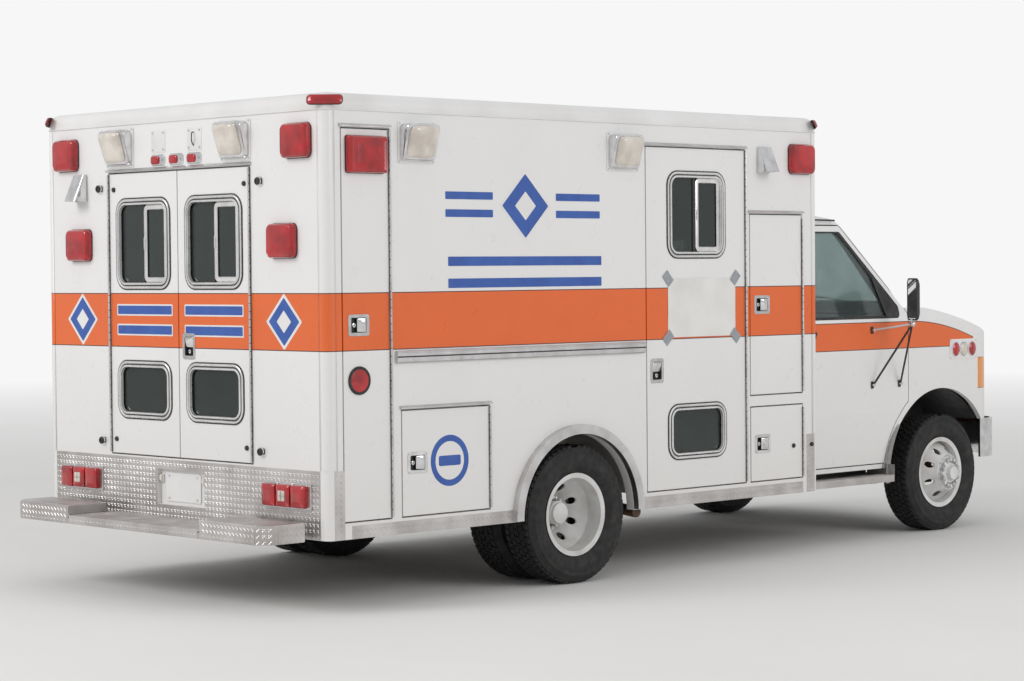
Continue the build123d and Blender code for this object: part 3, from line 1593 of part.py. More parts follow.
# Running boards under the cab doors, each on two brackets from the frame
board_back = y_module - board_gap
bracket_half = 40
with BuildPart() as running_boards:
    for s in (-1, 1):
        with BuildSketch(Plane.XY.offset(board_z)):
            with Locations((s * (board_out - board_w / 2), (board_front + board_back) / 2)):
                Rectangle(board_w, board_back - board_front)
        extrude(amount=board_t)
        foot_x = board_out - board_w + 20
        for y in (board_front + 120, board_back - 140):
            with BuildSketch(across_plane(y)):
                with BuildLine():
                    Polyline(
                        (s * (rail_x + rail_w / 2), rail_z + 20),
                        (s * (rail_x + rail_w / 2), rail_z + 80),
                        (s * foot_x, board_z + board_t),
                        (s * foot_x, board_z),
                        (s * (foot_x - 60), board_z),
                        close=True,
                    )
                make_face()
            extrude(amount=bracket_half, both=True)
finish(running_boards, "running_boards")
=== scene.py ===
import math

import bmesh
import bpy
from mathutils import Matrix, Vector


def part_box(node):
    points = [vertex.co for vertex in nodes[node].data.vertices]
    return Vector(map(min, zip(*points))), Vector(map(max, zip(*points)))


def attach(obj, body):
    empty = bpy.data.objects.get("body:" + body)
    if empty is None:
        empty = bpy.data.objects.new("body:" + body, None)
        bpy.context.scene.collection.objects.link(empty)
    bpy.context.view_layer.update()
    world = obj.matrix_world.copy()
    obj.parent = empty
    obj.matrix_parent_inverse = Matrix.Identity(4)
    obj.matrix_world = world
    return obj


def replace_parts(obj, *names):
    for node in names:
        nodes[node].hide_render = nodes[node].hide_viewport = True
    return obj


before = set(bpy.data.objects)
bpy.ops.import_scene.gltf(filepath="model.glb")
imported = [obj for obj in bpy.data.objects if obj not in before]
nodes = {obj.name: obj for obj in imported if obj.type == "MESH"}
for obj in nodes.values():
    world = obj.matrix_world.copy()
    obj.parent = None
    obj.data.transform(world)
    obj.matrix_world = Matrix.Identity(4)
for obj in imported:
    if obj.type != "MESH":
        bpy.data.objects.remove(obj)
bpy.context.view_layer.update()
print("frame loaded")

# Places that the rest is set out from, in metres
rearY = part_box("module_wall_curb")[1].y
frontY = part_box("module_wall_curb")[0].y
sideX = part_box("module_wall_street")[1].x
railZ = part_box("module_roof")[0].z
frontAxle = sum(corner.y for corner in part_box("front_tyre_curb")) / 2
rearAxle = sum(corner.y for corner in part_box("rear_tyres_curb")) / 2
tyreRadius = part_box("front_tyre_curb")[1].z / 2
sideNames = {"curb": -1, "street": 1}


# Small moves that every piece is modelled with

def only(piece):
    bpy.ops.object.select_all(action="DESELECT")
    piece.select_set(True)
    bpy.context.view_layer.objects.active = piece


def startEdit(piece):
    only(piece)
    bpy.ops.object.mode_set(mode="EDIT")
    bpy.ops.mesh.select_all(action="DESELECT")


def endEdit():
    bpy.ops.object.mode_set(mode="OBJECT")


def pickFaces(piece, test):
    # in edit mode: selects the faces whose middle and normal pass the test
    bpy.ops.mesh.select_mode(type="FACE")
    mesh = bmesh.from_edit_mesh(piece.data)
    for face in mesh.faces:
        face.select = bool(test(face.calc_center_median(), face.normal))
    mesh.select_flush_mode()
    bmesh.update_edit_mesh(piece.data)


def pickEdges(piece, test):
    bpy.ops.mesh.select_mode(type="EDGE")
    mesh = bmesh.from_edit_mesh(piece.data)
    for edge in mesh.edges:
        edge.select = bool(test(edge.verts[0].co, edge.verts[1].co))
    mesh.select_flush_mode()
    bmesh.update_edit_mesh(piece.data)


def faceOut():
    # in edit mode: selects everything and turns its faces outwards
    bpy.ops.mesh.select_all(action="SELECT")
    bpy.ops.mesh.normals_make_consistent(inside=False)


def thicken(depth):
    # in edit mode: draws the selected faces up into a closed form
    bpy.ops.mesh.extrude_region_move(TRANSFORM_OT_translate={"value": (0, 0, depth)})
    faceOut()


def paint(piece, material):
    piece.data.materials.clear()
    piece.data.materials.append(material)
    return piece


def smooth(piece, angle=35):
    only(piece)
    bpy.ops.object.shade_smooth_by_angle(angle=math.radians(angle))
    return piece


def join(parts):
    parts = [part for part in parts if part]
    if len(parts) > 1:
        bpy.ops.object.select_all(action="DESELECT")
        for part in parts:
            part.select_set(True)
        bpy.context.view_layer.objects.active = parts[0]
        bpy.ops.object.join()
    return parts[0]


def settle(piece):
    only(piece)
    bpy.ops.object.transform_apply(location=True, rotation=True, scale=True)
    return piece


def applied(piece, modifier):
    only(piece)
    bpy.ops.object.modifier_apply(modifier=modifier.name)
    return piece


def drawn(name, points, edges=(), faces=()):
    # a new mesh from given corners, left in edit mode with all of it selected
    mesh = bpy.data.meshes.new(name)
    mesh.from_pydata(points, edges, faces)
    piece = bpy.data.objects.new(name, mesh)
    bpy.context.scene.collection.objects.link(piece)
    startEdit(piece)
    bpy.ops.mesh.select_all(action="SELECT")
    return piece


def addPiece(piece, name, body):
    piece.name = name
    piece.data.name = name
    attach(piece, body)
    return piece


def copyTo(pattern, name, body, places):
    # a modelled pattern goes to each place, every copy with its own mesh
    copies = []
    for place in places:
        piece = pattern.copy()
        piece.data = pattern.data.copy()
        piece.data.transform(place)
        if place.determinant() < 0:
            piece.data.flip_normals()
        bpy.context.scene.collection.objects.link(piece)
        copies.append(piece)
    return addPiece(join(copies), name, body)


def drop(*patterns):
    for pattern in patterns:
        bpy.data.objects.remove(pattern)


def block(low, high, material, bevel=0.002, segments=2):
    # a block between two corners with rounded edges
    bpy.ops.object.select_all(action="DESELECT")
    middle = [(a + b) / 2 for a, b in zip(low, high)]
    size = [abs(b - a) for a, b in zip(low, high)]
    bpy.ops.mesh.primitive_cube_add(size=1, location=middle, scale=size)
    piece = settle(bpy.context.object)
    if bevel:
        startEdit(piece)
        bpy.ops.mesh.select_all(action="SELECT")
        bpy.ops.mesh.bevel(offset=min(bevel, min(size) * 0.45), segments=segments)
        endEdit()
    return paint(piece, material)


def rod(start, end, radius, material, sides=16, bevel=0.0, tip=None):
    # a round bar between two points, tapered where a tip radius is given
    bpy.ops.object.select_all(action="DESELECT")
    start, end = Vector(start), Vector(end)
    way = end - start
    turn = way.to_track_quat("Z", "Y").to_euler()
    bpy.ops.mesh.primitive_cone_add(
        vertices=sides, radius1=radius, radius2=radius if tip is None else tip,
        depth=way.length, location=(start + end) / 2, rotation=turn,
    )
    piece = settle(bpy.context.object)
    if bevel:
        direction = way.normalized()
        startEdit(piece)
        pickFaces(piece, lambda middle, normal: abs(normal.dot(direction)) > 0.9)
        bpy.ops.mesh.bevel(offset=bevel, segments=2)
        endEdit()
    return paint(smooth(piece), material)


def outline(width, height, corner, segments=5):
    # one flat face on the XY plane, its corners rounded
    bpy.ops.object.select_all(action="DESELECT")
    bpy.ops.mesh.primitive_plane_add(size=1)
    piece = bpy.context.object
    piece.scale = (width, height, 1)
    settle(piece)
    if corner:
        startEdit(piece)
        bpy.ops.mesh.select_all(action="SELECT")
        bpy.ops.mesh.bevel(offset=corner, segments=segments, affect="VERTICES")
        endEdit()
    return piece


def plate(width, height, corner, steps, material, hole=False, segments=5):
    # a rounded plate shaped towards +Z by insets: (inward, rise) for each, all inside the corner's radius
    piece = outline(width, height, corner, segments)
    startEdit(piece)
    bpy.ops.mesh.select_all(action="SELECT")
    for inward, rise in steps:
        bpy.ops.mesh.inset(thickness=inward, depth=rise, use_even_offset=True)
    if hole:
        bpy.ops.mesh.delete(type="FACE")
    bpy.ops.mesh.select_mode(type="EDGE")
    bpy.ops.mesh.select_non_manifold()
    if hole:
        bpy.ops.mesh.bridge_edge_loops()
    else:
        bpy.ops.mesh.edge_face_add()
    faceOut()
    endEdit()
    return paint(smooth(piece), material)


def crown(width, height, corner, steps, material, segments=5):
    # a pillow that rises from its foot: each step is (its size against the foot, rise)
    piece = outline(width, height, corner, segments)
    startEdit(piece)
    bpy.ops.mesh.select_all(action="SELECT")
    size = 1.0
    for share, rise in steps:
        bpy.ops.mesh.extrude_region_move(TRANSFORM_OT_translate={"value": (0, 0, rise)})
        bpy.ops.transform.resize(value=(share / size, share / size, 1), center_override=(0, 0, 0))
        size = share
    faceOut()
    endEdit()
    return paint(smooth(piece), material)


def ring(outer, inner, depth, material, bevel=0.0, segments=5):
    # a flat band between two rounded outlines, each (width, height, corner), and depth thick towards +Z
    piece = join([outline(*outer, segments), outline(*inner, segments)])
    startEdit(piece)
    bpy.ops.mesh.select_all(action="SELECT")
    bpy.ops.mesh.delete(type="ONLY_FACE")
    bpy.ops.mesh.select_all(action="SELECT")
    bpy.ops.mesh.bridge_edge_loops()
    bpy.ops.mesh.select_all(action="SELECT")
    thicken(depth)
    if bevel:
        bpy.ops.mesh.select_all(action="DESELECT")
        bpy.ops.mesh.select_mode(type="EDGE")
        bpy.ops.mesh.edges_select_sharp(sharpness=math.radians(60))
        bpy.ops.mesh.bevel(offset=bevel, segments=1)
    endEdit()
    return paint(smooth(piece), material)


def tube(points, radius, material, sides=10, curved=True):
    # a pipe along points, rounded at its turns
    data = bpy.data.curves.new("tube", "CURVE")
    data.dimensions = "3D"
    spline = data.splines.new("NURBS" if curved else "POLY")
    spline.points.add(len(points) - 1)
    for point, place in zip(spline.points, points):
        point.co = (*place, 1)
    if curved:
        spline.order_u = 3
        spline.use_endpoint_u = True
    data.resolution_u = 6
    data.bevel_depth = radius
    data.bevel_resolution = max(1, sides // 4 - 1)
    data.use_fill_caps = True
    piece = bpy.data.objects.new("tube", data)
    bpy.context.scene.collection.objects.link(piece)
    only(piece)
    bpy.ops.object.convert(target="MESH")
    return paint(smooth(bpy.context.object, 50), material)


def row(piece, count, step):
    # copies in a line, joined to one mesh
    modifier = piece.modifiers.new("row", "ARRAY")
    modifier.count = max(1, int(count))
    modifier.use_relative_offset = False
    modifier.use_constant_offset = True
    modifier.constant_offset_displace = step
    return applied(piece, modifier)


def moved(piece, place):
    piece.data.transform(place)
    return piece


def shift(x, y, z):
    return Matrix.Translation((x, y, z))


def lathe(profile, material, steps=32, axis=(0, 0, 1)):
    # a profile of (radius, height) pairs turned about Z, or another axis through the origin
    points = [(radius, 0, height) for radius, height in profile]
    count = len(points)
    edges = [(i, (i + 1) % count) for i in range(count)]
    piece = drawn("lathe", points, edges)
    bpy.ops.mesh.spin(steps=steps, angle=2 * math.pi, center=(0, 0, 0), axis=(0, 0, 1))
    bpy.ops.mesh.select_all(action="SELECT")
    bpy.ops.mesh.remove_doubles(threshold=0.00002)
    bpy.ops.mesh.normals_make_consistent(inside=False)
    endEdit()
    moved(piece, Vector(axis).to_track_quat("Z", "Y").to_matrix().to_4x4())
    return paint(smooth(piece), material)


def outAxes(outward):
    # turns a pattern's Z to the way out and keeps its Y upright
    up, outward = Vector((0, 0, 1)), Vector(outward)
    return Matrix((up.cross(outward), up, outward)).transposed().to_4x4()


faceWays = {"rear": (0, 1, 0), "curb": (-1, 0, 0), "street": (1, 0, 0), "front": (0, -1, 0)}


def facePlace(face, along, height, out=0.0, turn=0.0):
    # on the sides, along is measured forward from the rear face, elsewhere it is x
    outward = Vector(faceWays[face])
    if face in sideNames:
        point = Vector((outward.x * sideX, rearY - along, height))
    else:
        point = Vector((along, rearY if face == "rear" else frontY, height))
    return Matrix.Translation(point + outward * out) @ outAxes(outward) @ Matrix.Rotation(turn, 4, "Z")


def facePlaces(places):
    return [facePlace(*place) for place in places]


def bothSides(places):
    # the same (along, height) places on the curb side and on the street side
    return [facePlace(face, *place) for face in sideNames for place in places]


# Finishes

def newFinish(name):
    material = bpy.data.materials.new(name)
    material.use_nodes = True
    tree = material.node_tree
    place = tree.nodes.new("ShaderNodeTexCoord")
    return material, tree, tree.nodes["Principled BSDF"], place.outputs["Object"]


def noise(tree, place, scale, detail=3.0, stretch=(1, 1, 1)):
    mapping = tree.nodes.new("ShaderNodeMapping")
    mapping.inputs["Scale"].default_value = stretch
    texture = tree.nodes.new("ShaderNodeTexNoise")
    texture.inputs["Scale"].default_value = scale
    texture.inputs["Detail"].default_value = detail
    tree.links.new(place, mapping.inputs["Vector"])
    tree.links.new(mapping.outputs["Vector"], texture.inputs["Vector"])
    return texture.outputs["Fac"]


def spread(tree, value, low, high, start=0.3, end=0.7):
    node = tree.nodes.new("ShaderNodeMapRange")
    for key, number in (("From Min", start), ("From Max", end), ("To Min", low), ("To Max", high)):
        node.inputs[key].default_value = number
    tree.links.new(value, node.inputs["Value"])
    return node.outputs["Result"]


def blendColors(tree, share, first, second):
    node = tree.nodes.new("ShaderNodeMix")
    node.data_type = "RGBA"
    for socket, value in ((node.inputs[0], share), (node.inputs[6], first), (node.inputs[7], second)):
        if isinstance(value, (int, float)):
            socket.default_value = value
        elif isinstance(value, tuple):
            socket.default_value = (*value, 1)
        else:
            tree.links.new(value, socket)
    return node.outputs[2]


def emboss(tree, shader, height, strength, distance):
    bump = tree.nodes.new("ShaderNodeBump")
    bump.inputs["Strength"].default_value = strength
    bump.inputs["Distance"].default_value = distance
    tree.links.new(height, bump.inputs["Height"])
    tree.links.new(bump.outputs["Normal"], shader.inputs["Normal"])


def roughen(tree, shader, place, scale, strength, distance=0.001, stretch=(1, 1, 1)):
    emboss(tree, shader, noise(tree, place, scale, 3.0, stretch), strength, distance)


def calc(tree, operation, first, second=0.0):
    node = tree.nodes.new("ShaderNodeMath")
    node.operation = operation
    for socket, value in zip(node.inputs, (first, second)):
        if isinstance(value, (int, float)):
            socket.default_value = value
        else:
            tree.links.new(value, socket)
    return node.outputs[0]


def finishOf(name, color, second, grain=8.0, rough=(0.4, 0.6), metal=0.0, coat=0.0, bump=(80, 0.1),
             stretch=(1, 1, 1), clear=0.0, share=(0.35, 0.75)):
    # two colours that blend in patches, roughness that varies, and a fine grain
    material, tree, shader, place = newFinish(name)
    patches = spread(tree, noise(tree, place, grain, 5.0, stretch), 0, 1, *share)
    tree.links.new(blendColors(tree, patches, color, second), shader.inputs["Base Color"])
    fine = noise(tree, place, grain * 3.1, 4.0, stretch)
    tree.links.new(spread(tree, fine, *rough), shader.inputs["Roughness"])
    shader.inputs["Metallic"].default_value = metal
    shader.inputs["Coat Weight"].default_value = coat
    shader.inputs["Coat Roughness"].default_value = 0.06
    shader.inputs["Transmission Weight"].default_value = clear
    roughen(tree, shader, place, bump[0], bump[1], stretch=stretch)
    return material


paintLook = {
    "white": (0.80, 0.79, 0.78), "dust": (0.70, 0.67, 0.63), "orange": (0.78, 0.135, 0.020),
    "edge": (0.10, 0.03, 0.02), "moduleStripe": (1.283, 1.570), "cabStripe": (1.165, 1.335), "line": 0.005,
    "skin": 0.030, "cabSkin": 0.985, "fall": 0.26, "fallStart": frontAxle + 0.36,
    "stripeEnd": frontAxle - 0.30, "proud": 0.004, "lamp": (0.42, 0.003, 0.006),
}


def bodyPaint(name, stripe, cab=False):
    # white coach enamel with an orange band by height; on the cab its top edge falls with the hood
    look = paintLook
    material, tree, shader, place = newFinish(name)
    axes = tree.nodes.new("ShaderNodeSeparateXYZ")
    tree.links.new(place, axes.inputs[0])

    def both(first, second):
        return calc(tree, "MULTIPLY", first, second)

    def above(value, limit):
        return calc(tree, "GREATER_THAN", value, limit)

    def below(value, limit):
        return calc(tree, "LESS_THAN", value, limit)

    low, high = stripe
    height = axes.outputs["Z"]
    body = blendColors(tree, spread(tree, height, 0.5, 0.0, 0.3, 1.3), look["white"], look["dust"])
    soil = spread(tree, noise(tree, place, 2.3, 6.0, (1, 1, 0.35)), 0, 0.55, 0.45, 0.8)
    body = blendColors(tree, soil, body, tuple(c * 0.94 for c in look["white"]))
    upper = height
    if cab:
        ahead = calc(tree, "MAXIMUM", calc(tree, "SUBTRACT", look["fallStart"], axes.outputs["Y"]))
        upper = calc(tree, "ADD", height, both(both(ahead, ahead), look["fall"]))
    inside = both(above(height, low), below(upper, high))
    core = both(above(height, low + look["line"]), below(upper, high - look["line"]))
    across = calc(tree, "ABSOLUTE", axes.outputs["X"])
    outer = above(across, look["cabSkin"] if cab else sideX - look["skin"])
    if cab:
        inside = both(inside, above(axes.outputs["Y"], look["stripeEnd"]))
    else:
        outer = calc(tree, "MAXIMUM", outer, above(axes.outputs["Y"], rearY - look["skin"]))
    inside = both(inside, outer)
    faded = spread(tree, noise(tree, place, 3.0, 5.0), 0, 0.35, 0.4, 0.75)
    orange = blendColors(tree, faded, look["orange"], tuple(c * 0.86 for c in look["orange"]))
    color = blendColors(tree, inside, body, blendColors(tree, core, look["edge"], orange))
    if not cab:
        proud = below(axes.outputs["X"], -(sideX + look["proud"]))
        color = blendColors(tree, proud, color, look["lamp"])  # the lamp's foot on the tall curb hatch
    tree.links.new(color, shader.inputs["Base Color"])
    tree.links.new(spread(tree, noise(tree, place, 9.0, 4.0), 0.26, 0.42), shader.inputs["Roughness"])
    shader.inputs["Coat Weight"].default_value = 0.35
    shader.inputs["Coat Roughness"].default_value = 0.12
    roughen(tree, shader, place, 45, 0.05, 0.002)
    return material


def tyreRubber(name):
    material, tree, shader, place = newFinish(name)
    # dust patches kept near black: partly dust, partly painted shade that darkens the tyres' sides
    dust = spread(tree, noise(tree, place, 14, 6.0), 0, 0.6, 0.5, 0.85)
    tree.links.new(blendColors(tree, dust, (0.014, 0.0135, 0.0135), (0.052, 0.046, 0.039)),
                   shader.inputs["Base Color"])
    tree.links.new(spread(tree, noise(tree, place, 30, 4.0), 0.62, 0.86), shader.inputs["Roughness"])
    roughen(tree, shader, place, 160, 0.25, 0.001)
    return material


def lensFinish(name, color, deep, ribs=260.0, clear=0.0, corner=None):
    # moulded lamp plastic: ribbed across, its colour darker in random patches that are painted light and
    # shade standing in for the reflector behind the lens; a corner colour shows far from the middle
    material, tree, shader, place = newFinish(name)
    # painted reflection: the lens colour blends to the darker one in patches, in place of the lit and shaded
    # reflector seen through the lens
    patches = spread(tree, noise(tree, place, 11, 2.0), 0, 1, 0.35, 0.7)
    shown = blendColors(tree, patches, color, deep)
    if corner:
        axes = tree.nodes.new("ShaderNodeSeparateXYZ")
        tree.links.new(place, axes.inputs[0])
        across = calc(tree, "ABSOLUTE", axes.outputs["X"])
        shown = blendColors(tree, spread(tree, across, 0, 1, 0.862, 0.864), shown, corner)
    tree.links.new(shown, shader.inputs["Base Color"])
    wave = tree.nodes.new("ShaderNodeTexWave")
    wave.bands_direction = "Z"
    wave.inputs["Scale"].default_value = ribs / 6.28
    wave.inputs["Distortion"].default_value = 0.0
    tree.links.new(place, wave.inputs["Vector"])
    emboss(tree, shader, wave.outputs["Fac"], 0.12, 0.002)
    shader.inputs["Roughness"].default_value = 0.14
    shader.inputs["Coat Weight"].default_value = 0.8
    shader.inputs["Coat Roughness"].default_value = 0.05
    shader.inputs["Transmission Weight"].default_value = clear
    shader.inputs["IOR"].default_value = 1.49
    return material


def glassFinish(name, color, rough=0.03, clear=0.85):
    material, tree, shader, place = newFinish(name)
    smear = spread(tree, noise(tree, place, 5, 5.0), 0, 1, 0.4, 0.75)
    tree.links.new(blendColors(tree, smear, color, tuple(c * 0.82 for c in color)),
                   shader.inputs["Base Color"])
    tree.links.new(spread(tree, noise(tree, place, 12, 4.0), rough, rough + 0.05), shader.inputs["Roughness"])
    shader.inputs["Transmission Weight"].default_value = clear
    shader.inputs["IOR"].default_value = 1.45
    return material


modulePaint = bodyPaint("modulePaint", paintLook["moduleStripe"])
cabPaint = bodyPaint("cabPaint", paintLook["cabStripe"], cab=True)
whitePaint = finishOf("whitePaint", (0.80, 0.79, 0.78), (0.72, 0.70, 0.68), 3, (0.28, 0.42), coat=0.3,
                      bump=(45, 0.05))
chrome = finishOf("chrome", (0.80, 0.80, 0.81), (0.62, 0.61, 0.60), 20, (0.07, 0.17), metal=1.0,
                  bump=(60, 0.02))
windowMetal = finishOf("windowMetal", (0.84, 0.83, 0.82), (0.66, 0.65, 0.64), 9, (0.24, 0.36), metal=0.7,
                       bump=(90, 0.04))
aluminium = finishOf("aluminium", (0.70, 0.69, 0.69), (0.52, 0.50, 0.49), 9, (0.26, 0.42), metal=1.0,
                     bump=(120, 0.06))
# splash guard aluminium: greyed by grime and darkened further as painted shade
guardGrimeAndShade = finishOf("guardGrimeAndShade", (0.36, 0.35, 0.34), (0.22, 0.20, 0.18), 8, (0.45, 0.65), metal=0.4,
                      bump=(90, 0.12))
treadMetal = finishOf("treadMetal", (0.66, 0.64, 0.63), (0.44, 0.41, 0.39), 5, (0.28, 0.5), metal=1.0,
                      bump=(90, 0.12))
wheelPaint = finishOf("wheelPaint", (0.74, 0.74, 0.73), (0.50, 0.48, 0.45), 7, (0.3, 0.5), coat=0.2,
                      bump=(60, 0.08))
chassisBlack = finishOf("chassisBlack", (0.022, 0.022, 0.024), (0.075, 0.06, 0.048), 6, (0.5, 0.85),
                        bump=(70, 0.3))
rustIron = finishOf("rustIron", (0.10, 0.075, 0.06), (0.23, 0.10, 0.05), 16, (0.65, 0.9), metal=0.3,
                    bump=(110, 0.4))
blackRubber = finishOf("blackRubber", (0.018, 0.018, 0.018), (0.05, 0.047, 0.045), 18, (0.55, 0.8),
                       bump=(150, 0.15))
blackTrim = finishOf("blackTrim", (0.02, 0.02, 0.021), (0.045, 0.043, 0.042), 10, (0.35, 0.6),
                     bump=(200, 0.15))
greyPlastic = finishOf("greyPlastic", (0.33, 0.33, 0.34), (0.24, 0.23, 0.23), 7, (0.45, 0.65),
                       bump=(220, 0.15))
interiorWhite = finishOf("interiorWhite", (0.62, 0.61, 0.58), (0.50, 0.49, 0.46), 4, (0.35, 0.55),
                         bump=(90, 0.05))
floorVinyl = finishOf("floorVinyl", (0.30, 0.30, 0.31), (0.20, 0.20, 0.21), 22, (0.4, 0.6), bump=(140, 0.2))
seatVinyl = finishOf("seatVinyl", (0.10, 0.13, 0.19), (0.07, 0.09, 0.14), 12, (0.38, 0.55), bump=(320, 0.35))
seatPiping = finishOf("seatPiping", (0.055, 0.07, 0.11), (0.04, 0.05, 0.08), 12, (0.3, 0.45), bump=(320, 0.2))
blueInk = finishOf("blueInk", (0.03, 0.09, 0.36), (0.04, 0.12, 0.42), 9, (0.3, 0.45), bump=(60, 0.03))
paper = finishOf("paper", (0.78, 0.77, 0.74), (0.70, 0.69, 0.66), 6, (0.7, 0.85), bump=(40, 0.25))
greyTape = finishOf("greyTape", (0.34, 0.36, 0.38), (0.26, 0.28, 0.30), 40, (0.35, 0.5), bump=(300, 0.2))
redLens = lensFinish("redLens", (0.50, 0.003, 0.008), (0.27, 0.001, 0.003))
amberLens = lensFinish("amberLens", (0.80, 0.27, 0.01), (0.55, 0.14, 0.005))
clearLens = lensFinish("clearLens", (0.76, 0.70, 0.62), (0.55, 0.49, 0.43), ribs=180)
noseLamps = lensFinish("noseLamps", (0.80, 0.80, 0.78), (0.60, 0.60, 0.58), ribs=300,
                       corner=(0.80, 0.27, 0.01))
tyreBlack = tyreRubber("tyreBlack")
tintedGlass = glassFinish("tintedGlass", (0.10, 0.13, 0.12), clear=0.75)
cabGlass = glassFinish("cabGlass", (0.55, 0.66, 0.64), clear=0.95)
mirrorGlass = finishOf("mirrorGlass", (0.85, 0.86, 0.87), (0.78, 0.79, 0.80), 6, (0.02, 0.06), metal=1.0,
                       bump=(30, 0.01))
print("finishes made")

nodeFinish = {
    "frame_rails": chassisBlack, "crossmembers": chassisBlack, "rear_axle": rustIron,
    "front_axle": chassisBlack, "driveline": rustIron, "fuel_tank": chassisBlack,
    "module_floor": interiorWhite, "module_roof": whitePaint, "cabinets": interiorWhite,
    "bench": interiorWhite, "attendant_seat": seatVinyl, "rear_step": treadMetal, "body_trim": aluminium,
    "module_lamps": redLens, "cab_shell": cabPaint, "front_clip": cabPaint, "hood": cabPaint,
    "windshield": cabGlass, "cab_glass": cabGlass, "entry_glass": tintedGlass, "rear_glass": tintedGlass,
    "front_bumper": chrome, "grille": blackTrim, "dashboard": greyPlastic, "cab_seats": seatVinyl,
    "running_boards": treadMetal, "cab_floor": floorVinyl, "knuckle": rustIron, "front_rim": wheelPaint,
    "rear_rims": wheelPaint, "front_tyre": tyreBlack, "rear_tyres": tyreBlack, "cab_door": cabPaint,
    "mirror": blackTrim, "wheel_liners": blackTrim, "headlamps": noseLamps, "module_wall": modulePaint,
    "hatch": modulePaint, "entry_door": modulePaint, "rear_door": modulePaint,
}
for nodeName, node in nodes.items():
    found = [key for key in nodeFinish if nodeName.startswith(key)]
    paint(node, nodeFinish[max(found, key=len)])


# Windows of the module: a flanged frame in two steps, and a sliding sash in the upper ones

windowLook = {
    "size": 0.474, "lower": 0.300, "corner": 0.078, "rubber": 0.007, "lip": 0.013, "groove": 0.007,
    "outer": [(0.0, 0.005), (0.004, 0.003), (0.005, 0.0), (0.004, -0.004)],
    "inner": [(0.0, 0.006), (0.003, 0.003), (0.007, 0.0), (0.003, -0.014)],
    "sash": 0.026, "sashRoom": 0.034, "sashCorner": 0.030,
    "doorOut": 0.305, "doorUp": {"upper": 1.830, "lower": 1.058}, "entryAlong": 2.6725,
    "entryUp": {"upper": 1.972, "lower": 0.769},
}


def windowPattern(width, height, slider):
    look = windowLook
    lip, groove = look["lip"], look["groove"]
    inward = 2 * (lip + groove)
    seal = plate(width + 2 * look["rubber"], height + 2 * look["rubber"], look["corner"] + look["rubber"],
                 [(0.0, 0.003), (0.016, 0.001), (0.0, -0.003)], blackRubber, hole=True, segments=7)
    rim = plate(width, height, look["corner"], look["outer"], windowMetal, hole=True, segments=7)
    gap = plate(width - 2 * lip + 0.006, height - 2 * lip + 0.006, look["corner"] - lip,
                [(0.0, 0.004), (groove + 0.006, 0.0), (0.0, -0.004)], blackRubber, hole=True, segments=7)
    frameRing = plate(width - inward, height - inward, look["corner"] - lip - groove, look["inner"],
                      windowMetal, hole=True, segments=7)
    parts = [seal, rim, gap, frameRing]
    if slider:
        half = width / 2 - look["sashRoom"]
        tall = height - 2 * look["sashRoom"]
        sash = plate(half, tall, look["sashCorner"],
                     [(0.0, 0.004), (0.003, 0.002), (look["sash"] - 0.006, 0.0), (0.003, -0.004)],
                     windowMetal, hole=True, segments=4)
        moved(sash, shift(half / 2, 0, -0.010))
        rubber = block((-0.019, -tall / 2, -0.016), (0.0, tall / 2, -0.008), blackRubber, 0.001)
        pull = block((0.006, -0.030, -0.006), (0.014, 0.030, 0.002), windowMetal, 0.002)
        parts += [sash, rubber, pull]
    return join(parts)


windows = {
    "upper": windowPattern(windowLook["size"], windowLook["size"], True),
    "lower": windowPattern(windowLook["size"], windowLook["lower"], False),
}
for sideName, way in sideNames.items():
    for level, pattern in windows.items():
        copyTo(pattern, "rear_window_" + level + "_" + sideName, "rear_door_" + sideName,
               [facePlace("rear", way * windowLook["doorOut"], windowLook["doorUp"][level])])
for level, pattern in windows.items():
    copyTo(pattern, "entry_window_" + level, "entry_door",
           [facePlace("curb", windowLook["entryAlong"], windowLook["entryUp"][level])])
drop(*windows.values())
print("windows made")


# Warning lamps: a crowned red lens on a black gasket

strobeLook = {
    "wall": (0.208, 0.170, 0.030), "hatch": (0.251, 0.181, 0.012), "screw": 0.005, "gasket": 0.003,
    "lens": [(1.0, 0.020), (0.985, 0.006), (0.95, 0.006), (0.88, 0.005), (0.86, -0.0015), (0.60, 0.003),
             (0.30, 0.001)],
    "places": [
        ("rear", -0.995, 2.317), ("rear", 0.995, 2.317), ("rear", -0.878, 1.828), ("rear", 0.878, 1.828),
        ("curb", 3.571, 2.302), ("street", 3.571, 2.302), ("street", 0.254, 2.247),
        ("front", -0.9, 2.317), ("front", 0.9, 2.317),
    ],
    "hatchPlace": ("curb", 0.254, 2.247),
}


def strobePattern(width, height, corner):
    look = strobeLook
    gasket = plate(width + 0.006, height + 0.006, corner + 0.003, [(0.0, look["gasket"]), (0.003, 0.001)],
                   blackRubber)
    lens = moved(crown(width, height, corner, look["lens"], redLens, 6), shift(0, 0, look["gasket"]))
    screws = [rod((x, y, 0.030), (x, y, 0.0385), look["screw"], chassisBlack, 8)
              for x in (-width * 0.40, width * 0.40) for y in (-height * 0.26, height * 0.30)]
    return join([gasket, lens, *screws])


strobe = strobePattern(*strobeLook["wall"])
strobes = copyTo(strobe, "warning_lamps", "vehicle", facePlaces(strobeLook["places"]))
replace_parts(strobes, "module_lamps")
hatchStrobe = strobePattern(*strobeLook["hatch"])
moved(hatchStrobe, facePlace(*strobeLook["hatchPlace"]))
addPiece(hatchStrobe, "warning_lamp_rear_hatch", "hatch_curb_rear")
drop(strobe)


# Scene lamps: a screwed flange, a housing that leans down and a bulged lens

sceneLook = {
    "width": 0.246, "height": 0.212, "top": 0.078, "bottom": 0.028, "flange": 0.004, "screw": 0.006,
    "housing": [(1.0, 0.030), (0.97, 0.006), (0.93, 0.004)],
    "lens": [(1.0, 0.006), (0.94, 0.006), (0.78, 0.006), (0.45, 0.003)],
    "rear": [("rear", -0.5, 2.341), ("rear", 0.5, 2.341)], "sides": [(0.590, 2.315), (2.081, 2.307)],
}


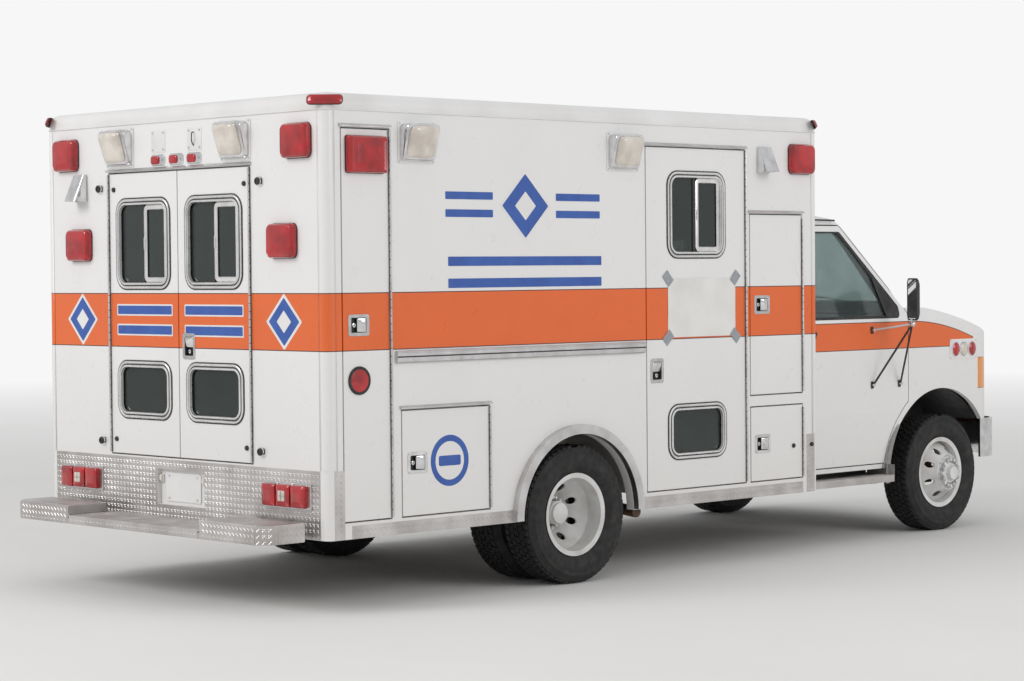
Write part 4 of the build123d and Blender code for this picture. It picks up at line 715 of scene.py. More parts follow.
def scenePattern():
    look = sceneLook
    width, height = look["width"], look["height"]
    flange = plate(width, height, 0.012, [(0.0, look["flange"]), (0.003, 0.001)], whitePaint)
    housing = crown(width - 0.030, height - 0.026, 0.026, look["housing"], chrome)
    lens = moved(crown(width - 0.058, height - 0.056, 0.032, look["lens"], clearLens), shift(0, 0, 0.038))
    body = join([housing, lens])
    span = height - 0.026
    for vertex in body.data.vertices:
        share = (vertex.co.y + span / 2) / span
        vertex.co.z *= (look["bottom"] + (look["top"] - look["bottom"]) * share) / 0.040
    screws = [rod((x, y, 0.004), (x, y, 0.008), look["screw"], chrome, 10)
              for x in (-width / 2 + 0.012, width / 2 - 0.012)
              for y in (-height / 2 + 0.012, height / 2 - 0.012)]
    return join([flange, body, *screws])


sceneLamp = scenePattern()
copyTo(sceneLamp, "scene_lamps", "vehicle",
       facePlaces(sceneLook["rear"]) + bothSides(sceneLook["sides"]))
drop(sceneLamp)


# Tail lamps: a bright bracket with three red lenses, the middle one with a white square in it

tailLook = {
    "width": 0.352, "height": 0.128, "base": 0.012, "pitch": 0.115, "lens": (0.108, 0.112, 0.014),
    "tab": 0.018, "crown": [(1.0, 0.014), (0.96, 0.008), (0.82, 0.006), (0.40, 0.003)],
    "places": [("rear", -0.885, 0.570), ("rear", 0.885, 0.570)],
}


def tailPattern():
    look = tailLook
    width, height, base = look["width"], look["height"], look["base"]
    bracket = block((-width / 2, -height / 2, 0), (width / 2 + look["tab"], height / 2, base), aluminium,
                    0.002)
    lenses = [moved(crown(*look["lens"], look["crown"], redLens), shift(n * look["pitch"], 0, base))
              for n in (-1, 0, 1)]
    square = moved(crown(0.052, 0.052, 0.006, [(1.0, 0.004), (0.92, 0.002)], clearLens),
                   shift(0, 0, base + 0.027))
    lines = [block((-0.024, -0.0015, 0.044), (0.024, 0.0015, 0.0465), greyPlastic, 0),
             block((-0.0015, -0.024, 0.044), (0.0015, 0.024, 0.0465), greyPlastic, 0)]
    bolts = [rod((x, height / 2 - 0.006, base - 0.001), (x, height / 2 - 0.006, base + 0.007), 0.006, chrome,
                 6)
             for x in (-0.058, 0.058)]
    return join([bracket, *lenses, square, *lines, *bolts])


tailLamp = tailPattern()
copyTo(tailLamp, "tail_lamps", "vehicle", facePlaces(tailLook["places"]))
drop(tailLamp)


# Hooded lamps: a plate with a bright wedge that is open below, and a lens in it

hoodedLook = {
    "width": 0.104, "height": 0.142, "top": 0.022, "bottom": 0.084, "wall": 0.002,
    "places": [("rear", 0.867, 2.137), ("curb", 3.246, 2.292), ("street", 3.246, 2.292)],
}


def hoodedPattern():
    look = hoodedLook
    width, height = look["width"], look["height"]
    base = plate(width + 0.012, height + 0.006, 0.006, [(0.0, 0.003), (0.002, 0.001)], aluminium)
    hood = block((-width / 2, -height / 2, 0.002), (width / 2, height / 2, look["bottom"]), chrome, 0)
    startEdit(hood)
    pickEdges(hood, lambda a, b: a.y > 0 and b.y > 0 and a.z > 0.01 and b.z > 0.01)
    bpy.ops.transform.translate(value=(0, 0, look["top"] - look["bottom"]))
    pickEdges(hood, lambda a, b: a.z > 0.01 and b.z > 0.01 and abs(a.x - b.x) < 0.001)
    bpy.ops.mesh.bevel(offset=0.010, segments=3)
    pickFaces(hood, lambda middle, normal: normal.y < -0.9 or normal.z < -0.9)
    bpy.ops.mesh.delete(type="FACE")
    endEdit()
    modifier = hood.modifiers.new("wall", "SOLIDIFY")
    modifier.thickness = look["wall"]
    applied(hood, modifier)
    bulb = moved(crown(width * 0.74, height * 0.5, 0.010, [(1.0, 0.012), (0.9, 0.006), (0.5, 0.004)],
                       clearLens),
                 shift(0, -0.012, 0.003))
    return join([base, smooth(hood), bulb])


hooded = hoodedPattern()
copyTo(hooded, "hooded_lamps", "vehicle", facePlaces(hoodedLook["places"]))
drop(hooded)


# Small markers over the rear doors, blank screwed covers above them and wedges on the roof's corners

markerLook = {
    "base": (0.126, 0.059, 0.020), "lens": (0.072, 0.044, 0.016), "cover": (0.122, 0.118, 0.006),
    "places": [("rear", 0.162, 2.264), ("rear", 0.003, 2.264), ("rear", -0.152, 2.264)],
    "covers": [("rear", 0.159, 2.362), ("rear", -0.155, 2.362)],
    "wedge": (0.172, 0.050, 0.018), "wedgeFoot": (0.178, 0.056, 0.020), "inset": 0.018, "rise": 0.044,
    "tilt": -24,
}


def markerPattern():
    base = plate(*markerLook["base"], [(0.0, 0.003), (0.004, 0.003)], chrome)
    lens = moved(crown(*markerLook["lens"], [(1.0, 0.004), (0.90, 0.003), (0.6, 0.001)], redLens),
                 shift(-0.019, 0, 0.005))
    screw = rod((0.042, 0, 0.005), (0.042, 0, 0.010), 0.006, aluminium, 8)
    return join([base, lens, screw])


def coverPattern():
    width, height, corner = markerLook["cover"]
    sheet = plate(width, height, corner, [(0.0, 0.002), (0.001, 0.0005)], whitePaint)
    screws = [rod((x, y, 0.002), (x, y, 0.006), 0.006, chrome, 8) for x in (-0.046, 0.046)
              for y in (-0.044, 0.044)]
    return join([sheet, *screws])


marker = markerPattern()
copyTo(marker, "door_markers", "vehicle", facePlaces(markerLook["places"]))
cover = coverPattern()
copyTo(cover, "blank_covers", "vehicle", facePlaces(markerLook["covers"]))
wire = tube([(-0.150, rearY, 2.395), (-0.150, rearY + 0.014, 2.400), (-0.158, rearY + 0.022, 2.372),
             (-0.146, rearY + 0.012, 2.340), (-0.152, rearY + 0.001, 2.326)], 0.003, blackRubber, 8)
addPiece(wire, "cover_lead", "vehicle")
wedge = join([crown(*markerLook["wedge"], [(1.0, 0.006), (0.90, 0.008), (0.66, 0.006), (0.30, 0.002)],
                    redLens),
              plate(*markerLook["wedgeFoot"], [(0.0, 0.003), (0.002, 0.001)], blackRubber)])
lean = Matrix.Rotation(math.radians(markerLook["tilt"]), 4, "X")
corners = []
for x, y in ((-1, 1), (1, 1), (-1, -1), (1, -1)):
    foot = (x * (sideX - markerLook["inset"]), (rearY if y > 0 else frontY) - y * markerLook["inset"],
            railZ + markerLook["rise"])
    corners.append(shift(*foot) @ outAxes(Vector((x, y, 0)).normalized()) @ lean)
copyTo(wedge, "roof_corner_markers", "vehicle", corners)
drop(marker, cover, wedge)
print("lamps made")


# Latches: a bright frame round a well painted black as shade, with a paddle and a lock

latchLook = {
    "size": (0.135, 0.107, 0.014), "well": (0.098, 0.074, 0.008), "deep": 0.0215,
    "paddle": (0.052, 0.068, 0.006),
    "screws": [(-0.058, -0.044), (-0.058, 0.044), (0.058, -0.044), (0.058, 0.044)], "hatches": {
        "hatch_curb_rear": ("curb", 0.204, 1.410), "hatch_curb_low": ("curb", 0.581, 0.713),
        "hatch_curb_front_upper": ("curb", 3.228, 1.463), "hatch_curb_front_lower": ("curb", 3.228, 0.6655),
        "hatch_street_rear": ("street", 0.204, 0.713), "hatch_street_mid": ("street", 2.365, 0.713),
        "hatch_street_front": ("street", 3.190, 1.213),
    },
    "rearDoor": ("rear", -0.087, 1.295, 0, math.radians(90)),
    "entryDoor": ("curb", 2.344, 1.114, 0, math.radians(90)),
}


def latchPattern():
    look = latchLook
    deep = look["deep"]
    frameRing = ring(look["size"], look["well"], 0.003, chrome, 0.0012)
    # the well's wall and floor are black: painted shade inside the recess
    wall = moved(ring((0.0995, 0.0755, 0.008), (0.093, 0.069, 0.006), deep, blackTrim),
                 shift(0, 0, -deep - 0.002))
    floor = block((-0.048, -0.036, -deep - 0.002), (0.048, 0.036, -deep), blackTrim, 0)
    paddle = plate(*look["paddle"], [(0.0, 0.004), (0.003, 0.002)], chrome)
    moved(paddle, shift(0.021, 0, -0.006) @ Matrix.Rotation(math.radians(-9), 4, "Y"))
    pin = rod((0.044, -0.032, -0.004), (0.044, 0.032, -0.004), 0.004, aluminium, 10)
    lock = rod((-0.027, 0, -deep), (-0.027, 0, -0.003), 0.011, chrome, 20, 0.0015)
    slot = block((-0.0285, -0.006, -0.004), (-0.0255, 0.006, -0.0022), blackTrim, 0)
    screws = [rod((x, y, 0.002), (x, y, 0.0045), 0.0042, aluminium, 8) for x, y in look["screws"]]
    return join([frameRing, wall, floor, paddle, pin, lock, slot, *screws])


latch = latchPattern()
for hatchName, spot in latchLook["hatches"].items():
    flip = Matrix.Diagonal((1 if spot[0] == "curb" else -1, 1, 1, 1))
    copyTo(latch, "latch_" + hatchName, hatchName, [facePlace(*spot) @ flip])
copyTo(latch, "latch_rear_door", "rear_door_curb", [facePlace(*latchLook["rearDoor"])])
copyTo(latch, "latch_entry_door", "entry_door", [facePlace(*latchLook["entryDoor"])])
drop(latch)


# Reflectors, hold-open posts and small bumpers

stopLook = {
    "reflector": ("curb", 0.203, 1.138), "otherReflector": ("street", 0.254, 1.138),
    "posts": [("rear", -0.690, 2.128), ("rear", 0.690, 2.128), ("rear", -0.688, 0.777),
              ("rear", 0.688, 0.777)],
    "hatchBumper": ("curb", 3.500, 0.640), "wallBumper": ("curb", 3.665, 0.640),
    "doorBumpers": (0.565, 2.120, 0.790),
}
reflector = join([
    lathe([(0.056, 0.0), (0.070, 0.0), (0.070, 0.006), (0.066, 0.010), (0.060, 0.010), (0.056, 0.006)],
          blackRubber, 40),
    lathe([(0.0, 0.001), (0.058, 0.001), (0.058, 0.006), (0.030, 0.009), (0.0, 0.010)], redLens, 40)])
copyTo(reflector, "reflector_curb", "hatch_curb_rear", [facePlace(*stopLook["reflector"])])
copyTo(reflector, "reflector_street", "vehicle", [facePlace(*stopLook["otherReflector"])])
post = join([
    plate(0.056, 0.044, 0.008, [(0.0, 0.003), (0.003, 0.001)], chrome),
    lathe([(0.0, 0.003), (0.018, 0.003), (0.016, 0.010), (0.014, 0.012), (0.0, 0.012)], chrome, 20),
    lathe([(0.0, 0.010), (0.016, 0.010), (0.019, 0.013), (0.019, 0.020), (0.016, 0.023), (0.010, 0.023),
           (0.007, 0.018), (0.0, 0.018)], blackRubber, 20)])
copyTo(post, "hold_open_posts", "vehicle", facePlaces(stopLook["posts"]))
bumper = lathe([(0.0, 0.0), (0.013, 0.0), (0.013, 0.006), (0.010, 0.010), (0.0, 0.011)], blackRubber, 16)
copyTo(bumper, "hatch_bumper", "hatch_curb_front_lower", [facePlace(*stopLook["hatchBumper"])])
copyTo(bumper, "wall_bumper", "vehicle", [facePlace(*stopLook["wallBumper"])])
across, *heights = stopLook["doorBumpers"]
for sideName, way in sideNames.items():
    copyTo(bumper, "door_bumpers_" + sideName, "rear_door_" + sideName,
           [facePlace("rear", way * across, height) for height in heights])
drop(reflector, post, bumper)


# Piano hinges: short knuckles in a row on each door's own turning line

hingeLook = {
    "radius": 0.0055, "length": 0.036, "pitch": 0.040, "leaf": 0.016, "out": 0.010,
    "rows": [
        ("rear", -0.610, 0.716, 2.203), ("rear", 0.610, 0.716, 2.203),
        ("curb", 0.408, 0.450, 2.370), ("curb", 1.077, 0.450, 0.976), ("curb", 3.084, 0.455, 2.339),
        ("curb", 3.584, 0.950, 1.976), ("curb", 3.584, 0.455, 0.876), ("street", 1.077, 0.450, 0.976),
        ("street", 2.969, 0.450, 0.976), ("street", 3.584, 0.450, 1.976),
    ],
}


def hingeRow(face, along, low, high):
    look = hingeLook
    count = int((high - low) / look["pitch"])
    knuckle = rod((0, 0, look["out"]), (0, look["length"], look["out"]), look["radius"], aluminium, 8)
    row(knuckle, count, (0, look["pitch"], 0))
    leaf = block((-look["leaf"] / 2, 0, 0), (look["leaf"] / 2, count * look["pitch"], 0.003), aluminium, 0)
    web = block((-0.0015, 0, 0.002), (0.0015, count * look["pitch"], look["out"]), chassisBlack, 0)
    return moved(join([knuckle, leaf, web]), facePlace(face, along, low + 0.004))


addPiece(join([hingeRow(*line) for line in hingeLook["rows"]]), "piano_hinges", "vehicle")


# Module edges: corner posts, the roof's lip, and lines along the rub rails

edgeLook = {
    "wall": 0.002, "reach": 0.060, "foot": 0.703, "lip": 0.008,
    "lineHalf": 0.900, "lineAlong": 1.338, "lines": [(1.2465, 0.007, blackRubber), (1.2680, 0.004, chrome)],
}


def cornerPosts():
    look = edgeLook
    length = rearY - frontY
    posts = ring((2 * sideX + 2 * look["wall"], length + 2 * look["wall"], 0.042), (2 * sideX, length, 0.040),
                 railZ - look["foot"] - 0.008, modulePaint, 0, 8)
    startEdit(posts)
    cutX, cutY = sideX - look["reach"], length / 2 - look["reach"]
    for place, normal in (((cutX, 0, 0), (1, 0, 0)), ((-cutX, 0, 0), (1, 0, 0)),
                          ((0, cutY, 0), (0, 1, 0)), ((0, -cutY, 0), (0, 1, 0))):
        bpy.ops.mesh.select_all(action="SELECT")
        bpy.ops.mesh.bisect(plane_co=place, plane_no=normal)
    pickFaces(posts, lambda middle, normal: abs(middle.x) < cutX or abs(middle.y) < cutY)
    bpy.ops.mesh.delete(type="FACE")
    bpy.ops.mesh.select_all(action="SELECT")
    bpy.ops.mesh.fill_holes(sides=6)
    bpy.ops.mesh.normals_make_consistent(inside=False)
    endEdit()
    return moved(posts, shift(0, (rearY + frontY) / 2, look["foot"]))


addPiece(cornerPosts(), "corner_posts", "vehicle")
lipRing = ring((2 * sideX + 0.012, rearY - frontY + 0.012, 0.046),
               (2 * sideX - 0.004, rearY - frontY - 0.004, 0.038), edgeLook["lip"], whitePaint, 0.002, 8)
addPiece(moved(lipRing, shift(0, (rearY + frontY) / 2, railZ - 0.004)), "roof_lip", "vehicle")
railLines = []
for face in sideNames:
    for height, tall, material in edgeLook["lines"]:
        half = edgeLook["lineHalf"]
        line = block((-half, -tall / 2, 0.019), (half, tall / 2, 0.021), material, 0.0005, 1)
        railLines.append(moved(line, facePlace(face, edgeLook["lineAlong"], height)))
addPiece(join(railLines), "rub_rail_lines", "vehicle")


# Tread plate: a thin sheet with crossed lugs

treadLook = {
    "pitch": 0.030, "lug": (0.0215, 0.0060), "side": 0.0018, "rise": 0.0014, "sheet": 0.0015, "margin": 0.014,
    # along, height, width and height of each side panel
    "sides": [(0.072, 0.532, 0.064, 0.338), (0.700, 0.395, 1.100, 0.064),
              (2.905, 0.395, 1.360, 0.064), (3.655, 0.532, 0.070, 0.338)],
    "rearHalf": 1.140, "rearTall": 0.169, "rearUp": 0.531, "recess": (-0.068, 0.118, 0.207),
    "board": 0.215, "boardInset": 0.115, "boardTop": 0.392, "well": (0.836, 0.842),
    "wellHeights": (0.388, 0.462),
}


def treadPatch(width, height, sheets=None, hole=None):
    look = treadLook
    parts = [block((x0, y0, 0), (x1, y1, look["sheet"]), treadMetal, 0)
             for x0, y0, x1, y1 in (sheets or [(-width / 2, -height / 2, width / 2, height / 2)])]
    for turn, offset in ((45, 0.0), (-45, look["pitch"] / 2)):
        room = (width - 2 * look["margin"] - offset, height - 2 * look["margin"] - offset)
        if min(room) < 0:
            continue
        lug = outline(*look["lug"], 0)
        startEdit(lug)
        bpy.ops.mesh.select_all(action="SELECT")
        bpy.ops.mesh.inset(thickness=look["side"], depth=look["rise"])
        endEdit()
        counts = [int(size / look["pitch"]) + 1 for size in room]
        start = [-(count - 1) * look["pitch"] / 2 - look["pitch"] / 4 + offset for count in counts]
        moved(lug, shift(start[0], start[1], look["sheet"]) @ Matrix.Rotation(math.radians(turn), 4, "Z"))
        paint(lug, treadMetal)
        row(row(lug, counts[0], (look["pitch"], 0, 0)), counts[1], (0, look["pitch"], 0))
        parts.append(lug)
    patch = join(parts)
    if hole:
        low, high = hole
        startEdit(patch)
        pickFaces(patch, lambda middle, normal: low[0] < middle.x < high[0] and low[1] < middle.y < high[1]
                  and middle.z > look["sheet"] * 0.9)
        bpy.ops.mesh.delete(type="FACE")
        endEdit()
    return patch


def rearTread():
    # the full-width panel round the plate's recess
    look = treadLook
    half, tall = look["rearHalf"], look["rearTall"]
    low, high, wide = look["recess"]
    sheets = [(-half, -tall, -wide, tall), (wide, -tall, half, tall), (-wide, high, wide, tall),
              (-wide, -tall, wide, low)]
    hole = ((-wide - 0.01, low - 0.01), (wide + 0.01, high + 0.01))
    return moved(treadPatch(2 * half, 2 * tall, sheets, hole), facePlace("rear", 0, look["rearUp"]))


treads = [rearTread()]
for face in sideNames:
    for along, height, width, tall in treadLook["sides"]:
        treads.append(moved(treadPatch(width, tall), facePlace(face, along, height)))
addPiece(join(treads), "tread_panels", "vehicle")
boards = []
boardLow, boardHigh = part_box("running_boards")
for way in (-1, 1):
    board = treadPatch(boardHigh.y - boardLow.y - 0.01, treadLook["board"])
    place = shift(way * (boardHigh.x - treadLook["boardInset"]), (boardLow.y + boardHigh.y) / 2,
                  treadLook["boardTop"])
    boards.append(moved(board, place @ Matrix.Rotation(math.radians(90), 4, "Z")))
    inner, outer = sorted(way * x for x in treadLook["well"])
    low, high = treadLook["wellHeights"]
    boards.append(block((inner, boardLow.y + 0.01, low), (outer, boardHigh.y - 0.01, high), blackTrim, 0.001))
addPiece(join(boards), "running_board_treads", "vehicle")


# Rear step: two raised blocks with a lower tread between them, all in tread plate

stepLook = {"half": 1.100, "inner": 0.574, "deep": 0.318, "block": 0.250, "low": 0.357, "top": 0.455,
            "tread": 0.405, "corner": 0.070, "skin": 0.003, "lugs": 0.440, "depth": 0.150, "end": 0.165,
            "slant": 0.090, "edge": 0.022}


def stepBlock(way):
    look = stepLook
    skin = look["skin"]
    back = rearY + look["deep"] - skin
    xs = sorted((way * look["inner"], way * (look["half"] - skin)))
    piece = block((xs[0], rearY + look["deep"] - look["block"], look["low"]),
                  (xs[1], back, look["top"] - skin), treadMetal, 0)
    outer = way * (look["half"] - skin)
    startEdit(piece)
    pickEdges(piece, lambda a, b: abs(a.x - outer) < 0.001 and abs(b.x - outer) < 0.001
              and abs(a.y - back) < 0.001 and abs(b.y - back) < 0.001)
    bpy.ops.mesh.bevel(offset=look["corner"], segments=1)
    bpy.ops.mesh.select_all(action="DESELECT")
    bpy.ops.mesh.select_mode(type="EDGE")
    bpy.ops.mesh.edges_select_sharp(sharpness=math.radians(30))
    bpy.ops.mesh.bevel(offset=0.003, segments=2)
    endEdit()
    middle = (xs[0] + xs[1]) / 2
    tall = look["top"] - look["low"] - 0.010
    height = (look["top"] + look["low"]) / 2 - skin / 2
    lugs = [
        moved(treadPatch(look["lugs"], look["depth"]),
              shift(middle - way * 0.030, rearY + 0.195, look["top"] - skin - 0.0002)),
        moved(treadPatch(look["lugs"], tall),
              facePlace("rear", middle - way * 0.034, height, look["deep"] - skin)),
        moved(treadPatch(look["end"], tall),
              shift(outer, rearY + 0.150, height) @ Matrix.Rotation(math.radians(90 * way), 4, "Z")
              @ Matrix.Rotation(math.radians(90), 4, "X")),
    ]
    place = shift(outer - way * look["corner"] / 2, back - look["corner"] / 2, height)
    lugs.append(moved(treadPatch(look["slant"], tall), place @ outAxes(Vector((way, 1, 0)).normalized())))
    return join([piece, *lugs])


def stepTread():
    look = stepLook
    width = 2 * look["inner"] - 0.002
    top, half = look["tread"] - look["skin"], width / 2
    near, far = rearY + 0.002, rearY + look["deep"] - look["skin"]
    sheet = block((-half, near, top - 0.018), (half, far, top), treadMetal, 0.003)
    edge = block((-half, rearY + look["deep"] - look["edge"], look["low"]), (half, far, top - 0.004),
                 treadMetal, 0.003)
    back = block((-half, near, look["low"]), (half, rearY + 0.020, top - 0.004), treadMetal, 0.003)
    lugs = moved(treadPatch(width - 0.02, 0.280), shift(0, rearY + 0.160, top - 0.0002))
    face = moved(treadPatch(width - 0.02, 0.036), facePlace("rear", 0, 0.379, look["deep"] - look["skin"]))
    return join([sheet, edge, back, lugs, face])


step = addPiece(join([stepTread(), stepBlock(-1), stepBlock(1)]), "step_treads", "vehicle")
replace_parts(step, "rear_step")
print("module edges and treads made")


# Plate in its recess: blank, screwed, with two small lamps

plateLook = {
    "size": (0.305, 0.152, 0.012), "deep": 0.022, "across": 0.005, "up": 0.556,
    "screws": [(-0.120, 0.614), (0.120, 0.614), (-0.120, 0.498), (0.120, 0.498)],
    "lamps": [(-0.183, 0.600), (0.183, 0.600)],
}
blank = plate(*plateLook["size"], [(0.0, 0.0015), (0.004, 0.001), (0.003, -0.001)], whitePaint)
plateParts = [moved(blank, facePlace("rear", plateLook["across"], plateLook["up"], -plateLook["deep"]))]
for x, height in plateLook["screws"]:
    plateParts.append(moved(rod((0, 0, 0), (0, 0, 0.005), 0.006, chrome, 8),
                            facePlace("rear", plateLook["across"] + x, height, -0.021)))
for x, height in plateLook["lamps"]:
    lampBody = join([block((-0.014, -0.022, 0), (0.014, 0.022, 0.010), chrome, 0.002),
                     moved(crown(0.022, 0.034, 0.006, [(1.0, 0.004), (0.8, 0.003)], clearLens),
                           shift(0, 0, 0.010))])
    plateParts.append(moved(lampBody, facePlace("rear", plateLook["across"] + x, height, -0.024)))
addPiece(join(plateParts), "blank_plate", "vehicle")


# Plain blue bars and diamonds with white edges

markLook = {
    "thick": 0.0006, "edge": 0.008, "barTall": 0.30, "barApart": 0.35,
    "rear": [("rear", -0.872, 1.428), ("rear", 0.872, 1.428)], "rearSize": 0.285,
    "side": (1.348, 2.007), "sideSize": 0.380,
    "short": (0.330, 0.129), "shortPlaces": [(0.950, 2.010), (1.737, 2.010)],
    "long": (1.111, 0.159), "longPlace": (1.356, 1.665), "door": (0.480, 0.150), "doorPlace": (0.300, 1.428),
    "ring": (0.098, 0.130), "ringBar": (0.150, 0.052, 0.010), "ringPlace": ("curb", 0.799, 0.712),
}


def film(width, height, corner, material):
    return plate(width, height, corner, [(0.0, markLook["thick"])], material)


def bars(width, height, edged=True):
    look = markLook
    tall, edge = height * look["barTall"], 2 * look["edge"]
    parts = []
    for way in (-1, 1):
        up = way * height * look["barApart"]
        if edged:
            parts.append(moved(film(width + edge, tall + edge, 0.006, whitePaint), shift(0, up, 0)))
        parts.append(moved(film(width, tall, 0.004, blueInk), shift(0, up, look["thick"])))
    return join(parts)


def diamond(size):
    # a white square on its corner with a blue one and a small white one over it
    thick, side = markLook["thick"], size * 0.70
    squares = [film(side - 0.03, side - 0.03, 0.006, blueInk),
               film(side * 0.40, side * 0.40, 0.004, whitePaint), film(side, side, 0.008, whitePaint)]
    turn = Matrix.Rotation(math.radians(45), 4, "Z")
    return join([moved(square, shift(0, 0, rise * thick) @ turn) for square, rise in zip(squares, (1, 2, 0))])


marks = [moved(diamond(markLook["rearSize"]), place) for place in facePlaces(markLook["rear"])]
for face in sideNames:
    marks.append(moved(diamond(markLook["sideSize"]), facePlace(face, *markLook["side"])))
    marks += [moved(bars(*markLook["short"], False), facePlace(face, *place))
              for place in markLook["shortPlaces"]]
    marks.append(moved(bars(*markLook["long"], False), facePlace(face, *markLook["longPlace"])))
addPiece(join(marks), "blue_marks", "vehicle")
across, height = markLook["doorPlace"]
for sideName, way in sideNames.items():
    doorBars = moved(bars(*markLook["door"]), facePlace("rear", way * across, height))
    addPiece(doorBars, "blue_marks_door_" + sideName, "rear_door_" + sideName)
inner, outer = markLook["ring"]
thick = markLook["thick"]
sticker = join([lathe([(inner, 0.0), (outer, 0.0), (outer, thick), (inner, thick)], blueInk, 48),
                film(*markLook["ringBar"], blueInk)])
addPiece(moved(sticker, facePlace(*markLook["ringPlace"])), "round_mark", "hatch_curb_low")


# Blank paper sign with a piece of tape over each corner, on the entry door

signLook = {"width": 0.560, "height": 0.326, "along": 2.715, "up": 1.457, "tape": 0.075, "wave": 0.0022}


def paperSign():
    look = signLook
    bpy.ops.object.select_all(action="DESELECT")
    bpy.ops.mesh.primitive_grid_add(x_subdivisions=24, y_subdivisions=14, size=1)
    sheet = bpy.context.object
    sheet.scale = (look["width"], look["height"], 1)
    settle(sheet)
    for vertex in sheet.data.vertices:
        x, y = vertex.co.x, vertex.co.y
        held = (1 - (2 * x / look["width"]) ** 2) * 0.6 + (1 - (2 * y / look["height"]) ** 2) * 0.4
        ripple = 1.2 + math.sin(x * 23 + y * 9) + 0.6 * math.sin(y * 31 - x * 7)
        vertex.co.z = 0.0012 + look["wave"] * held * ripple
    modifier = sheet.modifiers.new("thick", "SOLIDIFY")
    modifier.thickness = 0.0004
    paint(smooth(applied(sheet, modifier)), paper)
    tapes = []
    for x in (-1, 1):
        for y in (-1, 1):
            tape = plate(look["tape"], look["tape"] * 0.72, 0.002, [(0.0, 0.0005)], greyTape)
            turn = Matrix.Rotation(math.radians(45 * x * y + 3 * x), 4, "Z")
            tapes.append(moved(tape, shift(x * look["width"] / 2, y * look["height"] / 2, 0.0032) @ turn))
    return join([sheet, *tapes])


addPiece(moved(paperSign(), facePlace("curb", signLook["along"], signLook["up"])), "paper_sign", "entry_door")
print("marks and sign made")


# Cab: window bands on the doors, fender lamp plates, handles, mirrors and splash guards

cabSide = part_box("cab_door_street")[1].x
cabLook = {
    "glassFoot": (0.9935, 1.355), "lean": -0.187, "thick": 0.005,
    "outer": [(1.33, 1.345), (0.475, 1.345), (0.448, 1.366), (0.444, 1.405), (0.463, 1.455), (0.512, 1.513),
              (0.921, 1.912), (1.33, 1.912)],
    "inner": [(1.303, 1.372), (0.588, 1.372), (0.640, 1.500), (0.680, 1.610), (0.855, 1.795), (0.930, 1.862),
              (0.955, 1.880), (1.303, 1.880)],
    "divider": [(0.560, 1.360), (0.588, 1.360), (0.682, 1.612), (0.660, 1.604)],
    "cup": (0.112, 0.046, 0.012), "handle": (1.333, 1.270), "lock": (1.358, 1.215),
}


def panel(points, thick, material):
    # a flat face with the given corners, made thick towards +Z
    piece = drawn("panel", [(*point, 0) for point in points], faces=[tuple(range(len(points)))])
    thicken(thick)
    endEdit()
    return paint(smooth(piece), material)


def band(outer, inner, thick, material):
    # a strip between two outlines with as many corners each
    count = len(outer)
    faces = [(i, (i + 1) % count, count + (i + 1) % count, count + i) for i in range(count)]
    piece = drawn("band", [(*point, 0) for point in outer + inner], faces=faces)
    thicken(thick)
    endEdit()
    return paint(smooth(piece), material)


def onGlass(piece, way, out=0.0):
    # the piece's x is metres behind the front axle, its y is height and its z stands off the leaning glass
    foot, low = cabLook["glassFoot"]
    for vertex in piece.data.vertices:
        back, height, rise = vertex.co
        vertex.co = (way * (foot + (height - low) * cabLook["lean"] + rise + out), frontAxle + back, height)
    startEdit(piece)
    faceOut()
    endEdit()
    return piece


def cabPlace(way, back, height, out=0.0):
    face = "curb" if way < 0 else "street"
    return facePlace(face, rearY - (frontAxle + back), height, cabSide - sideX + out)


def doorTrim(way):
    look = cabLook
    parts = [onGlass(band(look["outer"], look["inner"], look["thick"], blackRubber), way, 0.002),
             onGlass(panel(look["divider"], 0.006, blackTrim), way, 0.006)]
    cup = crown(*look["cup"], [(1.0, 0.004), (0.94, 0.002)], blackTrim)
    grip = block((-0.050, -0.006, 0.006), (0.050, 0.012, 0.018), blackTrim, 0.004)
    lock = rod((0, 0, 0), (0, 0, 0.004), 0.009, chrome, 16, 0.001)
    moved(grip, shift(0, 0.002, 0))
    parts += [moved(join([cup, grip]), cabPlace(way, *look["handle"])),
              moved(lock, cabPlace(way, *look["lock"]))]
    return join(parts)


fenderLook = {
    "size": (0.282, 0.127, 0.012), "pitch": 0.086, "lamp": (0.037, 0.043), "place": (-0.191, 1.1465),
    "screws": [(-0.132, -0.054), (-0.132, 0.054), (0.132, -0.054), (0.132, 0.054)],
}


def fenderLamps(way):
    look = fenderLook
    parts = [plate(*look["size"], [(0.0, 0.003), (0.003, 0.001)], whitePaint)]
    for step, material in ((-1, redLens), (0, clearLens), (1, redLens)):
        radius, tall = look["lamp"]
        bezel = lathe([(radius - 0.002, 0.003), (radius + 0.003, 0.003), (radius + 0.003, 0.009),
                       (radius, 0.012), (radius - 0.002, 0.009)], chrome, 32)
        lens = lathe([(0.0, 0.004), (radius - 0.001, 0.004), (radius - 0.002, 0.011), (radius * 0.7, 0.018),
                      (0.0, 0.021)],
                     material, 32)
        lamp = moved(join([bezel, lens]),
                     shift(step * look["pitch"], 0, 0) @ Matrix.Diagonal((1, tall / radius, 1, 1)))
        parts.append(lamp)
    parts += [rod((x, y, 0.003), (x, y, 0.006), 0.004, chrome, 8) for x, y in look["screws"]]
    return moved(join(parts), cabPlace(way, *look["place"]))


mirrorLook = {
    "size": (0.168, 0.258, 0.032), "turn": 33, "out": 1.213, "back": 0.607, "foot": 1.345, "arm": 0.0064,
    "drop": 0.022, "ball": 0.019, "reach": (0.010, 0.022),
    "struts": [(0.473, 0.950, blackTrim), (0.742, 0.950, blackTrim), (0.742, 1.286, aluminium)],
}


